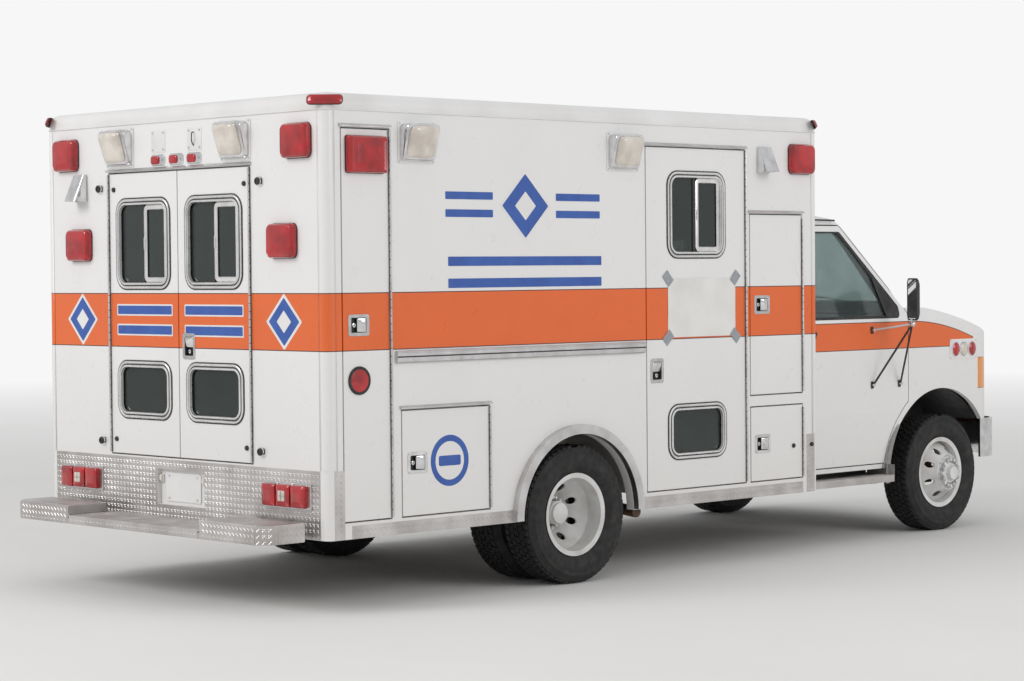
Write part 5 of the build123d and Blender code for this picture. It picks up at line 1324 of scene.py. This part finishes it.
def mirrorPiece(way):
    look = mirrorLook
    width, height, corner = look["size"]
    head = crown(width, height, corner, [(1.0, 0.010), (0.96, 0.006), (0.84, 0.007), (0.55, 0.005)],
                 blackTrim, 6)
    head = moved(head, Matrix.Rotation(math.radians(180), 4, "Y"))
    rim = ring((width, height, corner), (width - 0.016, height - 0.016, corner - 0.008), 0.004, blackTrim,
               0.001)
    glass = moved(plate(width - 0.018, height - 0.018, corner - 0.009, [(0.0, 0.0015)], mirrorGlass),
                  shift(0, 0, 0.0005))
    angle = math.radians(look["turn"])
    outward = Vector((-way * math.sin(angle), math.cos(angle), 0))
    out, back, foot = way * look["out"], frontAxle + look["back"], look["foot"]
    parts = [moved(join([head, rim, glass]), shift(out, back, foot + height / 2) @ outAxes(outward))]
    knee = (out, back, foot - look["drop"])
    for back, foot, material in look["struts"]:
        end, cap = ((way * (cabSide + reach), frontAxle + back, foot) for reach in look["reach"])
        bracket = plate(0.026, 0.044, 0.006, [(0.0, 0.004), (0.004, 0.003)], blackTrim)
        parts += [tube([knee, end], look["arm"], material, 12, False),
                  moved(bracket, cabPlace(way, back, foot)), rod(end, cap, 0.009, chrome, 12)]
    bpy.ops.object.select_all(action="DESELECT")
    bpy.ops.mesh.primitive_uv_sphere_add(segments=20, ring_count=12, radius=look["ball"], location=knee)
    ball = settle(bpy.context.object)
    parts += [paint(smooth(ball), chrome),
              rod(knee, (knee[0], knee[1], look["foot"] + 0.012), 0.010, chrome, 14)]
    return join(parts)


guardLook = {"shift": 0.037, "middle": 0.375, "radii": (0.535, 0.574), "from": -4, "to": 36, "steps": 10,
             "flap": [(-0.150, 0.358), (0.050, 0.358), (0.050, 0.455), (-0.150, 0.455)], "flapBack": 0.583}


def splashGuard(way):
    # a sheet along the arch's rear edge, clear of the door, and a low flap on the running board's front end
    look = guardLook
    inner, outer = look["radii"]
    rows = []
    for step in range(look["steps"] + 1):
        share = step / look["steps"]
        angle = math.radians(look["from"] + (look["to"] - look["from"]) * share)
        rows.append([(look["shift"] + radius * math.cos(angle), look["middle"] + radius * math.sin(angle))
                     for radius in (inner, outer - (outer - inner) * 0.7 * share ** 3)])
    sheet = panel([point[0] for point in rows] + [point[1] for point in reversed(rows)], 0.002, guardGrimeAndShade)
    for vertex in sheet.data.vertices:
        back, height, rise = vertex.co
        vertex.co = (way * (cabSide + 0.0015 + rise), frontAxle + back, height)
    flap = panel(look["flap"], 0.004, guardGrimeAndShade)
    for vertex in flap.data.vertices:
        out, height, rise = vertex.co
        vertex.co = (way * (cabSide - 0.004 + out), frontAxle + look["flapBack"] + rise, height)
    piece = join([sheet, flap])
    startEdit(piece)
    faceOut()
    endEdit()
    return piece


for sideName, way in sideNames.items():
    addPiece(doorTrim(way), "cab_door_trim_" + sideName, "cab_door_" + sideName)
    addPiece(fenderLamps(way), "fender_lamps_" + sideName, "vehicle")
    addPiece(splashGuard(way), "splash_guard_" + sideName, "vehicle")
    mirrorHead = addPiece(mirrorPiece(way), "mirror_head_" + sideName, "cab_door_" + sideName)
    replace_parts(mirrorHead, "mirror_" + sideName)
print("cab sides made")


# Windshield bead, wipers, roof drip strips and lamp bezels

screenLook = {
    "low": (1.452, 0.870), "high": (1.935, 0.800), "bead": 0.010, "steps": 9,
    "foot": (0.256, 1.415), "slope": 1.045, "bow": (0.150, 1.007),
    "wipers": [(-0.50, 0.02), (0.14, 0.66)],
    "drip": [(0.893, 0.96, 1.958), (0.897, 1.02, 1.961), (0.897, 1.46, 1.961)],
}


def screenPoint(x, height, out=0.0):
    (foot, low), (bow, half) = screenLook["foot"], screenLook["bow"]
    back = foot + (height - low) * screenLook["slope"] + bow * (x / half) ** 2
    return Vector((x, frontAxle + back, height)) + Vector((0, -0.70, 0.71)) * out


def screenTrim():
    look = screenLook
    (lowZ, lowX), (highZ, highX) = look["low"], look["high"]
    count = look["steps"]
    shares = [i / (count - 1) for i in range(count)]
    loop = [screenPoint(-lowX + 2 * lowX * t, lowZ, 0.004) for t in shares]
    loop += [screenPoint(lowX + (highX - lowX) * t, lowZ + (highZ - lowZ) * t, 0.004) for t in shares[1:]]
    loop += [screenPoint(highX - 2 * highX * t, highZ, 0.004) for t in shares[1:]]
    loop += [screenPoint(-highX - (lowX - highX) * t, highZ - (highZ - lowZ) * t, 0.004) for t in shares[1:]]
    parts = [tube(loop, look["bead"], blackRubber, 10, False)]
    for pivot, tip in look["wipers"]:
        foot = screenPoint(pivot, 1.440, 0.012)
        middle = (pivot + tip) / 2 + 0.10
        boss = rod(screenPoint(pivot, 1.432, -0.004), screenPoint(pivot, 1.440, 0.020), 0.014, blackTrim, 16,
                   0.002)
        arm = [foot, screenPoint((pivot + middle) / 2, 1.462, 0.026), screenPoint(middle, 1.480, 0.020)]
        parts += [boss, tube(arm, 0.005, blackTrim, 8)]
        blade = [screenPoint(tip - 0.30 + 0.42 * t, 1.472 + 0.014 * t, 0.011)
                 for t in (0, 0.25, 0.5, 0.75, 1)]
        parts.append(tube(blade, 0.005, blackRubber, 8))
        parts.append(tube([p + Vector((0, -0.006, 0.006)) for p in blade], 0.003, blackTrim, 8))
    return join(parts)


addPiece(screenTrim(), "windshield_trim", "vehicle")
drips = [tube([(way * x, frontAxle + back, height) for x, back, height in screenLook["drip"]], 0.006,
              blackRubber, 8)
         for way in (-1, 1)]
addPiece(join(drips), "roof_drip_strips", "vehicle")
noseLook = {"lamp": (0.232, 0.150), "at": (0.720, 0.922)}


def noseTrim():
    look = noseLook
    width, height = look["lamp"]
    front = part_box("headlamps")[0].y
    parts = []
    for way in (-1, 1):
        bezel = ring((width + 0.012, height + 0.012, 0.016), (width - 0.010, height - 0.010, 0.012), 0.007,
                     chrome, 0.002)
        lens = crown(width - 0.014, height - 0.014, 0.012,
                     [(1.0, 0.004), (0.93, 0.005), (0.70, 0.004), (0.35, 0.002)], clearLens)
        bulb = lathe([(0.0, 0.008), (0.046, 0.010), (0.052, 0.016), (0.048, 0.018), (0.034, 0.014),
                      (0.0, 0.0125)], chrome, 32)
        place = facePlace("front", way * look["at"][0], look["at"][1], frontY - front - 0.001)
        parts.append(moved(join([bezel, lens, bulb]), place))
    return join(parts)


addPiece(noseTrim(), "headlamp_trim", "vehicle")
print("cab front made")


# Wheels: tyres with tread blocks, hub rings and lug nuts

tyreLook = {
    "half": [(0.203, 0.068), (0.222, 0.0775), (0.235, 0.090), (0.262, 0.1055), (0.290, 0.111),
             (0.300, 0.1095), (0.318, 0.1085),
             (0.325, 0.1105), (0.338, 0.1000), (0.352, 0.093), (0.3585, 0.088)],
    "blocks": 60,
    "ribs": [(-0.083, -0.055), (-0.047, -0.019), (-0.013, 0.013), (0.019, 0.047), (0.055, 0.083)],
    "top": 0.3674,
}


def tyrePattern():
    look = tyreLook
    half = look["half"]
    profile = [(radius, -out) for radius, out in half] + [(radius, out) for radius, out in reversed(half)]
    body = lathe(profile, tyreBlack, 72, (1, 0, 0))
    length = 2 * math.pi * look["top"] / look["blocks"]
    lugs = []
    for index, (low, high) in enumerate(look["ribs"]):
        lean = (index % 2 - 0.5) * 0.008
        lug = block((low, -length * 0.38, 0.354), (high, length * 0.38, look["top"]), tyreBlack, 0)
        startEdit(lug)
        pickFaces(lug, lambda middle, normal: normal.z < -0.5)
        bpy.ops.mesh.delete(type="FACE")
        endEdit()
        for vertex in lug.data.vertices:
            way = 1 if vertex.co.x > (low + high) / 2 else -1
            vertex.co.y += lean * way + (length * 0.5 if index % 2 else 0)
        lugs.append(lug)
    lugs = join(lugs)
    startEdit(lugs)
    bpy.ops.mesh.select_all(action="SELECT")
    bpy.ops.mesh.spin(steps=look["blocks"], dupli=True, angle=2 * math.pi, center=(0, 0, 0), axis=(1, 0, 0))
    endEdit()
    return join([body, lugs])


def lugRing(count, circle, radius, low, high, material):
    nuts = []
    for index in range(count):
        angle = 2 * math.pi * (index + 0.5) / count
        y, z = circle * math.cos(angle), circle * math.sin(angle)
        nuts.append(rod((low, y, z), (high - 0.006, y, z), radius, material, 6, 0.0015))
        nuts.append(rod((high - 0.008, y, z), (high, y, z), radius * 0.72, material, 12, 0.001))
    return join(nuts)


hubLook = {
    "circle": 0.0825, "nut": 0.0138, "nuts": 8, "twin": 0.136,
    "front": {"face": 1.0265, "tall": 0.030, "cap": 0.047, "capOut": 1.068},
    "rear": {"face": 0.968, "tall": 0.042, "cap": 0.064, "capOut": 1.052},
}


def hubPattern(face, tall, cap, capOut, front=False):
    circle = hubLook["circle"]
    parts = [lugRing(hubLook["nuts"], circle, hubLook["nut"], face, face + tall,
                     chrome if front else aluminium),
             lathe([(cap - 0.012, face), (cap + 0.012, face), (cap + 0.006, face + 0.010),
                    (cap - 0.002, face + 0.012),
                    (cap - 0.004, capOut - 0.008), (cap * 0.8, capOut), (0.0, capOut + 0.002), (0.0, face)],
                   chrome if front else rustIron, 40, (1, 0, 0))]
    if front:
        parts.append(lathe([(circle + 0.020, face), (circle + 0.028, face), (circle + 0.026, face + 0.004),
                            (circle + 0.021, face + 0.004)], chrome, 48, (1, 0, 0)))
    return join(parts)


tyre = tyrePattern()
frontHub = hubPattern(**hubLook["front"], front=True)
rearHub = hubPattern(**hubLook["rear"])
for sideName, way in sideNames.items():
    frontWheel, rearWheels = "front_wheel_" + sideName, "rear_wheels_" + sideName
    middle = sum(corner.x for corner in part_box("front_tyre_" + sideName)) / 2
    piece = copyTo(tyre, "front_tyre_tread_" + sideName, frontWheel,
                   [shift(middle, frontAxle, tyreRadius)])
    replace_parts(piece, "front_tyre_" + sideName)
    middle = sum(corner.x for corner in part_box("rear_tyres_" + sideName)) / 2
    piece = copyTo(tyre, "rear_tyre_treads_" + sideName, rearWheels,
                   [shift(middle + step * hubLook["twin"], rearAxle, tyreRadius) for step in (-1, 1)])
    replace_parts(piece, "rear_tyres_" + sideName)
    side = Matrix.Identity(4) if way > 0 else Matrix.Rotation(math.pi, 4, "Z")
    copyTo(frontHub, "front_hub_" + sideName, frontWheel, [shift(0, frontAxle, tyreRadius) @ side])
    copyTo(rearHub, "rear_hub_" + sideName, rearWheels, [shift(0, rearAxle, tyreRadius) @ side])
drop(tyre, frontHub, rearHub)
print("wheels made")


# Seats and cushions: each pad swells in a short cloth simulation, then gets its sewn channels and piping

padLook = {
    "pressure": 4.0, "frames": 20, "stiffness": 12.0, "bending": 0.8, "mass": 0.3, "quality": 4,
    "inset": 0.010, "cap": 0.013, "channel": 0.008, "channelWidth": 1.3, "piping": 0.0045, "pipingSteps": 9,
}


def swell(piece, cap):
    # the mesh's points move out under pressure, none by more than the cap
    rest = [vertex.co.copy() for vertex in piece.data.vertices]
    modifier = piece.modifiers.new("cloth", "CLOTH")
    cloth = modifier.settings
    cloth.quality = padLook["quality"]
    cloth.mass = padLook["mass"]
    cloth.tension_stiffness = padLook["stiffness"]
    cloth.compression_stiffness = padLook["stiffness"]
    cloth.bending_stiffness = padLook["bending"]
    cloth.use_pressure = True
    cloth.uniform_pressure_force = padLook["pressure"]
    cloth.effector_weights.gravity = 0.0
    modifier.collision_settings.use_collision = False
    modifier.point_cache.frame_start = 1
    modifier.point_cache.frame_end = padLook["frames"]
    for number in range(1, padLook["frames"] + 1):
        bpy.context.scene.frame_set(number)
    found = piece.evaluated_get(bpy.context.evaluated_depsgraph_get()).data
    reached = [vertex.co.copy() for vertex in found.vertices]
    bpy.context.scene.frame_set(1)
    only(piece)
    bpy.ops.object.modifier_remove(modifier="cloth")
    for vertex, start, end in zip(piece.data.vertices, rest, reached):
        way = end - start
        if way.length > cap:
            way *= cap / way.length
        vertex.co = start + way


def piping(piece, width, length, corner, height):
    # a cord sewn round the pad at one height, laid on its swollen sides
    edgeX, edgeY = width / 2 - corner, length / 2 - corner
    outward = 1.02 * (1 + corner / max(edgeX, edgeY))
    sides = [(edgeX, -edgeY), (edgeX, edgeY), (-edgeX, edgeY), (-edgeX, -edgeY)]
    steps = padLook["pipingSteps"]
    loop = []
    for start, end in zip(sides, sides[1:] + sides[:1]):
        for step in range(steps):
            x, y = (a + (b - a) * step / steps for a, b in zip(start, end))
            loop.append(piece.closest_point_on_mesh(Vector((x * outward, y * outward, height)))[1])
    return tube([*loop, loop[0]], padLook["piping"], seatPiping, 8, False)


def pad(width, length, thick, corner, voxel, channels=(), cap=padLook["cap"]):
    # lies on the XY plane with its crown towards +Z; channels are (axis, place) lines sewn into its top
    inset = padLook["inset"]
    low = (-width / 2 + inset, -length / 2 + inset, 0.001)
    high = (width / 2 - inset, length / 2 - inset, thick - inset)
    piece = block(low, high, seatVinyl, corner, 4)
    modifier = piece.modifiers.new("even", "REMESH")
    modifier.mode = "VOXEL"
    modifier.voxel_size = voxel
    applied(piece, modifier)
    swell(piece, cap)
    for vertex in piece.data.vertices:
        co = vertex.co
        top = max(0.0, co.z - thick * 0.5) / (thick * 0.5)
        for axis, place in channels:
            away = (co[axis] - place) / (voxel * padLook["channelWidth"])
            co.z -= padLook["channel"] * math.exp(-away * away) * min(1.0, top * 1.6)
        co.z = min(max(co.z, 0.0), thick)
        co.x = min(max(co.x, -width / 2), width / 2)
        co.y = min(max(co.y, -length / 2), length / 2)
    modifier = piece.modifiers.new("fine", "SUBSURF")
    modifier.levels = modifier.render_levels = 1
    paint(smooth(applied(piece, modifier), 60), seatVinyl)
    bpy.context.view_layer.update()
    heights = (thick - inset - corner * 0.45, inset * 0.5 + corner * 0.45)
    return join([piece, *[piping(piece, width, length, corner, height) for height in heights]])


def soft(piece, name, node):
    addPiece(piece, name, "vehicle")
    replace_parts(piece, node)
    return piece


benchLook = {
    "thick": 0.090, "corner": 0.024, "voxel": 0.018, "channels": [(1, -0.30), (1, 0.30)],
    "board": (0.985, 1.010), "front": 0.020, "doors": 3, "doorApart": 0.08, "doorTall": 0.170,
    "doorUp": 0.865,
}
benchLow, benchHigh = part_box("bench")
benchPad = pad(benchHigh.x - benchLow.x, benchHigh.y - benchLow.y, benchLook["thick"], benchLook["corner"],
               benchLook["voxel"], benchLook["channels"])
middle = (benchLow + benchHigh) / 2
soft(moved(benchPad, shift(middle.x, middle.y, benchHigh.z - benchLook["thick"])), "bench_cushion",
     "bench")


def benchBase():
    look = benchLook
    face = benchHigh.x
    low, high = look["board"]
    parts = [block((face - look["front"], benchLow.y, benchLow.z), (face, benchHigh.y, low), interiorWhite,
                   0.002),
             block((benchLow.x, benchLow.y, low), (face, benchHigh.y, high), interiorWhite, 0.003)]
    span = (benchHigh.y - benchLow.y) / look["doors"]
    for step in range(look["doors"]):
        door = plate(span - look["doorApart"], look["doorTall"], 0.012, [(0.0, 0.004), (0.003, 0.002)],
                     interiorWhite)
        knob = rod((0, 0.055, 0.004), (0, 0.055, 0.020), 0.012, chrome, 16, 0.002)
        place = shift(face, benchLow.y + span * (step + 0.5), look["doorUp"])
        parts.append(moved(join([door, knob]), place @ outAxes(faceWays["street"])))
    return join(parts)


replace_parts(addPiece(benchBase(), "bench_base", "vehicle"), "bench")

attendantLook = {
    "thick": 0.110, "corner": 0.026, "voxel": 0.012, "cushionChannels": [(1, 0.02)],
    "backChannels": [(1, -0.10), (1, 0.12)], "seat": 1.150, "backFoot": 1.262, "board": 1.128,
    "panel": (0.300, 0.260, 0.014), "panelUp": 0.94, "knobUp": 1.02, "inset": (0.012, 0.030),
}


def attendantSeat():
    look = attendantLook
    low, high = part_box("attendant_seat")
    middle, wide = (low + high) / 2, high.x - low.x
    upright = outAxes(faceWays["rear"])
    shape = (look["thick"], look["corner"], look["voxel"])
    cushion = pad(wide, high.y - low.y, *shape, look["cushionChannels"])
    soft(moved(cushion, shift(middle.x, middle.y, look["seat"])), "attendant_cushion", "attendant_seat")
    back = pad(wide, high.z - look["backFoot"], *shape, look["backChannels"])
    place = shift(middle.x, low.y, (high.z + look["backFoot"]) / 2)
    soft(moved(back, place @ upright), "attendant_back", "attendant_seat")
    inX, inY = look["inset"]
    face = high.y - inY
    pedestal = join([
        block((low.x + inX, low.y + inY, low.z), (high.x - inX, face, look["board"]), interiorWhite, 0.010),
        block((low.x, low.y, look["board"]), (high.x, high.y, look["seat"]), interiorWhite, 0.006),
        moved(plate(*look["panel"], [(0.0, 0.004), (0.003, 0.002)], interiorWhite),
              shift(middle.x, face, look["panelUp"]) @ upright),
        rod((middle.x, face + 0.004, look["knobUp"]), (middle.x, face + 0.024, look["knobUp"]), 0.012, chrome,
            16, 0.002)])
    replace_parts(addPiece(pedestal, "attendant_pedestal", "vehicle"), "attendant_seat")


attendantSeat()
cabSeatLook = {
    "cushion": (0.460, 0.450, 0.135, 0.034, 0.013, [(0, -0.13), (0, 0.13)], 0.016),
    "cushionAt": (0.232, 0.938, -3.5),
    "back": (0.450, 0.660, 0.115, 0.034, 0.013, [(0, -0.12), (0, 0.12), (1, 0.20)], 0.016),
    "backAt": (0.052, 1.335, -8.6), "half": 0.230, "box": (0.20, 0.04, 0.44, 0.905),
    "tray": (0.225, 0.010, 0.455, 0.940), "knob": (0.185, 0.985, 0.035),
}


def cabSeats():
    look = cabSeatLook
    low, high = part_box("cab_seats")
    cushion, back = pad(*look["cushion"]), pad(*look["back"])
    cushionBack, cushionUp, cushionLean = look["cushionAt"]
    backBack, backUp, backLean = look["backAt"]
    forward = outAxes(faceWays["rear"]) @ Matrix.Diagonal((-1, 1, -1, 1))
    tilt = Matrix.Rotation(math.radians(backLean), 4, "X") @ forward
    lean = Matrix.Rotation(math.radians(cushionLean), 4, "X")
    bases = []
    for sideName, way in sideNames.items():
        x = way * (high.x - look["half"])
        for pattern, name, place in (
            (cushion, "cab_cushion_", shift(x, low.y + cushionBack, cushionUp) @ lean),
            (back, "cab_back_", shift(x, high.y - backBack, backUp) @ tilt),
        ):
            piece = copyTo(pattern, name + sideName, "vehicle", [place])
            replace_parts(piece, "cab_seats")
        foot = low.z
        for (half, start, end, top), bevel in ((look["box"], 0.012), (look["tray"], 0.010)):
            bases.append(block((x - half, low.y + start, foot), (x + half, low.y + end, top), blackTrim,
                               bevel))
            foot = top
        knobBack, knobUp, radius = look["knob"]
        y = high.y - knobBack
        bases.append(rod((x - way * 0.235, y, knobUp), (x - way * 0.222, y, knobUp), radius, blackTrim, 24,
                         0.004))
    drop(cushion, back)
    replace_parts(addPiece(join(bases), "cab_seat_bases", "vehicle"), "cab_seats")


cabSeats()
print("seats made")


# Patient room: street-side cabinets, a counter, ceiling lamps and a grab rail

roomLook = {
    "start": -0.15, "end": 1.85, "bays": 3, "inner": 0.80, "counter": 0.700, "wall": 1.140, "ceiling": 2.460,
    "cabinet": (1.42, 2.04), "base": (0.753, 1.020), "top": 1.050, "glass": (0.560, 0.510, 0.500),
    "glassUp": 1.73, "door": 0.215, "doorUp": 0.885, "lampRows": (0.10, 1.00, 1.90), "lampAcross": 0.55,
    "lamp": (0.30, 0.56, 0.030), "lampLens": (0.25, 0.50, 0.024), "hangers": (0.40, 1.00, 1.60),
    "railUp": 2.408,
    "rail": [(-0.30, 2.452), (-0.26, 2.412), (-0.18, 2.408), (2.10, 2.408), (2.18, 2.412), (2.22, 2.452)],
}


def roomSide():
    look = roomLook
    start, end, wall = look["start"], look["end"], look["wall"]
    span = (end - start) / look["bays"]
    toRoom = outAxes(faceWays["curb"])
    low, high = look["cabinet"]
    foot, board = look["base"]
    face = look["counter"] + 0.020
    parts = [block((look["inner"], start, low), (wall, end, high), interiorWhite, 0.004),
             block((face, start, foot), (wall, end, board), interiorWhite, 0.004),
             block((look["counter"], start - 0.010, board), (wall, end + 0.010, look["top"]), greyPlastic,
                   0.006)]
    outerTall, paneTall, innerTall = look["glass"]
    for bay in range(look["bays"]):
        middle = start + span * (bay + 0.5)
        front = [ring((span - 0.03, outerTall, 0.012), (span - 0.09, innerTall, 0.010), 0.010, aluminium,
                      0.002)]
        for step, depth in ((-1, 0.0), (1, 0.004)):
            pane = plate(span / 2 - 0.02, paneTall, 0.004, [(0.0, 0.003)], tintedGlass)
            pull = rod((0, 0, 0.004), (0, 0, 0.016), 0.014, blackTrim, 16, 0.002)
            front += [moved(pane, shift(step * (span / 4 - 0.016), 0, 0.002 + depth)),
                      moved(pull, shift(step * span * 0.38, 0, 0))]
        parts.append(moved(join(front), shift(look["inner"], middle, look["glassUp"]) @ toRoom))
        door = plate(span - 0.04, look["door"], 0.010, [(0.0, 0.005), (0.003, 0.002)], interiorWhite)
        handle = block((-0.05, 0.070, 0.006), (0.05, 0.082, 0.020), aluminium, 0.003)
        parts.append(moved(join([door, handle]), shift(face, middle, look["doorUp"]) @ toRoom))
    return join(parts)


def roomCeiling():
    look = roomLook
    down = Matrix.Rotation(math.pi, 4, "X")
    parts = []
    for y in look["lampRows"]:
        for way in (-1, 1):
            tray = plate(*look["lamp"], [(0.0, 0.010), (0.006, 0.004)], whitePaint)
            lens = crown(*look["lampLens"], [(1.0, 0.006), (0.92, 0.006), (0.6, 0.003)], clearLens)
            lamp = join([tray, moved(lens, shift(0, 0, 0.013))])
            parts.append(moved(lamp, shift(way * look["lampAcross"], y, look["ceiling"]) @ down))
    parts.append(tube([(0, y, z) for y, z in look["rail"]], 0.014, chrome, 16))
    for y in look["hangers"]:
        foot = lathe([(0.0, 0.0), (0.028, 0.0), (0.024, 0.006), (0.010, 0.008), (0.0, 0.008)], chrome, 20)
        parts += [rod((0, y, look["railUp"]), (0, y, look["ceiling"] - 0.002), 0.008, chrome, 12),
                  moved(foot, shift(0, y, look["ceiling"]) @ down)]
    return join(parts)


addPiece(roomSide(), "street_cabinets", "vehicle")
addPiece(roomCeiling(), "ceiling_fittings", "vehicle")
print("patient room made")


# Under the floor: exhaust, dampers, spring clamps and tank straps

underLook = {
    "pipe": 0.032, "exhaust": (-0.610, 0.430), "muffler": -0.42, "hangers": (-0.85, 0.05),
    "spring": 0.512, "clampHalf": 0.045, "clampBack": 0.085, "clamp": (0.310, 0.470),
    "pad": (0.125, 0.235, 0.012), "padUp": 0.300, "damperFoot": (0.40, 0.12, 0.32),
    "damperHead": (0.36, 0.40, 0.60), "strap": 0.02, "strapIn": 0.16,
}


def exhaust():
    x, z = underLook["exhaust"]
    pipe = tube([
        (-0.24, frontAxle + 0.60, 0.50), (-0.30, frontAxle + 0.90, 0.44), (x + 0.03, frontAxle + 1.25, z),
        (x, frontAxle + 1.45, z), (x, 0.10, z), (x, 0.38, z - 0.01), (x - 0.10, 0.52, z - 0.04),
        (x - 0.36, 0.56, z - 0.08), (x - 0.52, 0.57, z - 0.09)], underLook["pipe"], rustIron, 16)
    muffler = lathe([(0.030, -0.36), (0.060, -0.34), (0.088, -0.31), (0.092, -0.29), (0.092, 0.29),
                     (0.088, 0.31), (0.060, 0.34), (0.030, 0.36)], rustIron, 32, (0, 1, 0))
    parts = [pipe, moved(muffler, shift(x, underLook["muffler"], z) @ Matrix.Diagonal((1.15, 1, 0.85, 1)))]
    for y in underLook["hangers"]:
        parts.append(tube([(x, y, z + 0.03), (x + 0.02, y, 0.56), (x + 0.12, y, 0.60)], 0.007, chassisBlack,
                          8, False))
    return join(parts)


def springClamp(way):
    # two bolts bent under the leaf spring, their pad, and the damper behind the axle
    look = underLook
    middle, half = way * look["spring"], look["clampHalf"]
    low, high = look["clamp"]
    parts = []
    for y in (rearAxle - look["clampBack"], rearAxle + look["clampBack"]):
        bend = [(middle - half, high), (middle - half, low), (middle + half, low), (middle + half, high)]
        parts.append(tube([(x, y, z) for x, z in bend], 0.008, rustIron, 8, False))
    pad = plate(*look["pad"], [(0.0, 0.010), (0.003, 0.002)], chassisBlack)
    parts.append(moved(pad, shift(middle, rearAxle, look["padUp"])))
    foot, head = (Vector((way * x, rearAxle + y, z)) for x, y, z in (look["damperFoot"], look["damperHead"]))
    elbow, pin = foot.lerp(head, 0.5), Vector((0.03, 0, 0))
    parts += [rod(foot, elbow, 0.026, chassisBlack, 20, 0.003), rod(elbow, head, 0.032, blackTrim, 20, 0.003),
              rod(foot - pin, foot + pin, 0.020, rustIron, 16)]
    return join(parts)


def tankStraps():
    low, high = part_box("fuel_tank")
    half = underLook["strap"]
    parts = []
    for y in (low.y + underLook["strapIn"], high.y - underLook["strapIn"]):
        near, far = y - half, y + half
        parts += [
            block((low.x - 0.004, near, low.z - 0.003), (high.x + 0.004, far, low.z), aluminium, 0.001, 1),
            block((low.x, near, low.z), (low.x - 0.004, far, high.z), aluminium, 0.001, 1),
            block((high.x, near, low.z), (high.x + 0.004, far, high.z), aluminium, 0.001, 1)]
    return join(parts)


under = join([exhaust(), springClamp(-1), springClamp(1), tankStraps()])
addPiece(under, "underside_parts", "vehicle")
print("underside made")


# Light, floor and camera

stageLook = {
    "floor": (0.80, 0.79, 0.77), "world": 0.68, "background": (0.93, 0.93, 0.93),
    "keyPlace": (3.5, 14.0, 9.0), "keySize": 7.0, "keyPower": 800,
    "fillPlace": (-15.0, -3.0, 7.0), "fillSize": 9.0, "fillPower": 560,
}
cameraLook = {"place": (-10.658, rearY + 7.817, 1.672), "yaw": -43.77, "pitch": -1.59, "roll": -0.51,
              "lens": 88.81}


def areaLight(name, place, size, power):
    light = bpy.data.lights.new(name, "AREA")
    light.shape = "DISK"
    light.size = size
    light.energy = power
    lamp = bpy.data.objects.new(name, light)
    bpy.context.scene.collection.objects.link(lamp)
    lamp.location = place
    lamp.rotation_euler = (Vector((0, 0, 1.2)) - Vector(place)).to_track_quat("-Z", "Y").to_euler()


def makeStage():
    look = stageLook
    bpy.ops.object.select_all(action="DESELECT")
    bpy.ops.mesh.primitive_circle_add(vertices=96, radius=150, fill_type="NGON")
    floor = bpy.context.object
    floor.name = "floor"
    material, tree, shader, place = newFinish("floorFinish")
    clouds = spread(tree, noise(tree, place, 0.6, 3.0), 0, 1)
    tint = blendColors(tree, clouds, look["floor"], tuple(c * 0.97 for c in look["floor"]))
    tree.links.new(tint, shader.inputs["Base Color"])
    shader.inputs["Roughness"].default_value = 0.9
    shader.inputs["Specular IOR Level"].default_value = 0.1
    glow = tree.nodes.new("ShaderNodeEmission")
    glow.inputs["Color"].default_value = (*look["background"], 1)
    length = tree.nodes.new("ShaderNodeVectorMath")
    length.operation = "LENGTH"
    tree.links.new(place, length.inputs[0])
    far = spread(tree, length.outputs["Value"], 0, 1, 7.0, 26.0)
    path = tree.nodes.new("ShaderNodeLightPath")
    seen = calc(tree, "MULTIPLY", far, path.outputs["Is Camera Ray"])
    mix = tree.nodes.new("ShaderNodeMixShader")
    tree.links.new(seen, mix.inputs[0])
    tree.links.new(shader.outputs[0], mix.inputs[1])
    tree.links.new(glow.outputs[0], mix.inputs[2])
    tree.links.new(mix.outputs[0], tree.nodes["Material Output"].inputs["Surface"])
    paint(floor, material)

    world = bpy.data.worlds.new("studio")
    bpy.context.scene.world = world
    world.use_nodes = True
    tree = world.node_tree
    base = tree.nodes["Background"]
    base.inputs["Color"].default_value = (0.97, 0.98, 1.0, 1)
    base.inputs["Strength"].default_value = look["world"]
    back = tree.nodes.new("ShaderNodeBackground")
    back.inputs["Color"].default_value = (*look["background"], 1)
    path = tree.nodes.new("ShaderNodeLightPath")
    mix = tree.nodes.new("ShaderNodeMixShader")
    tree.links.new(path.outputs["Is Camera Ray"], mix.inputs[0])
    tree.links.new(base.outputs[0], mix.inputs[1])
    tree.links.new(back.outputs[0], mix.inputs[2])
    tree.links.new(mix.outputs[0], tree.nodes["World Output"].inputs["Surface"])
    areaLight("keyLight", look["keyPlace"], look["keySize"], look["keyPower"])
    areaLight("fillLight", look["fillPlace"], look["fillSize"], look["fillPower"])


def makeCamera():
    look = cameraLook
    yaw, pitch, roll = (math.radians(look[key]) for key in ("yaw", "pitch", "roll"))
    forward = Vector((math.cos(pitch) * math.cos(yaw), math.cos(pitch) * math.sin(yaw), math.sin(pitch)))
    level = forward.cross(Vector((0, 0, 1))).normalized()
    right = level * math.cos(roll) + level.cross(forward) * math.sin(roll)
    up = right.cross(forward)
    data = bpy.data.cameras.new("camera")
    data.lens = look["lens"]
    data.sensor_width = 36.0
    data.clip_end = 500
    camera = bpy.data.objects.new("camera", data)
    bpy.context.scene.collection.objects.link(camera)
    axes = Matrix((right, up, -forward)).transposed().to_4x4()
    camera.matrix_world = Matrix.Translation(look["place"]) @ axes
    bpy.context.scene.camera = camera


makeStage()
makeCamera()
bpy.context.scene.view_settings.view_transform = "Standard"
print("stage made")
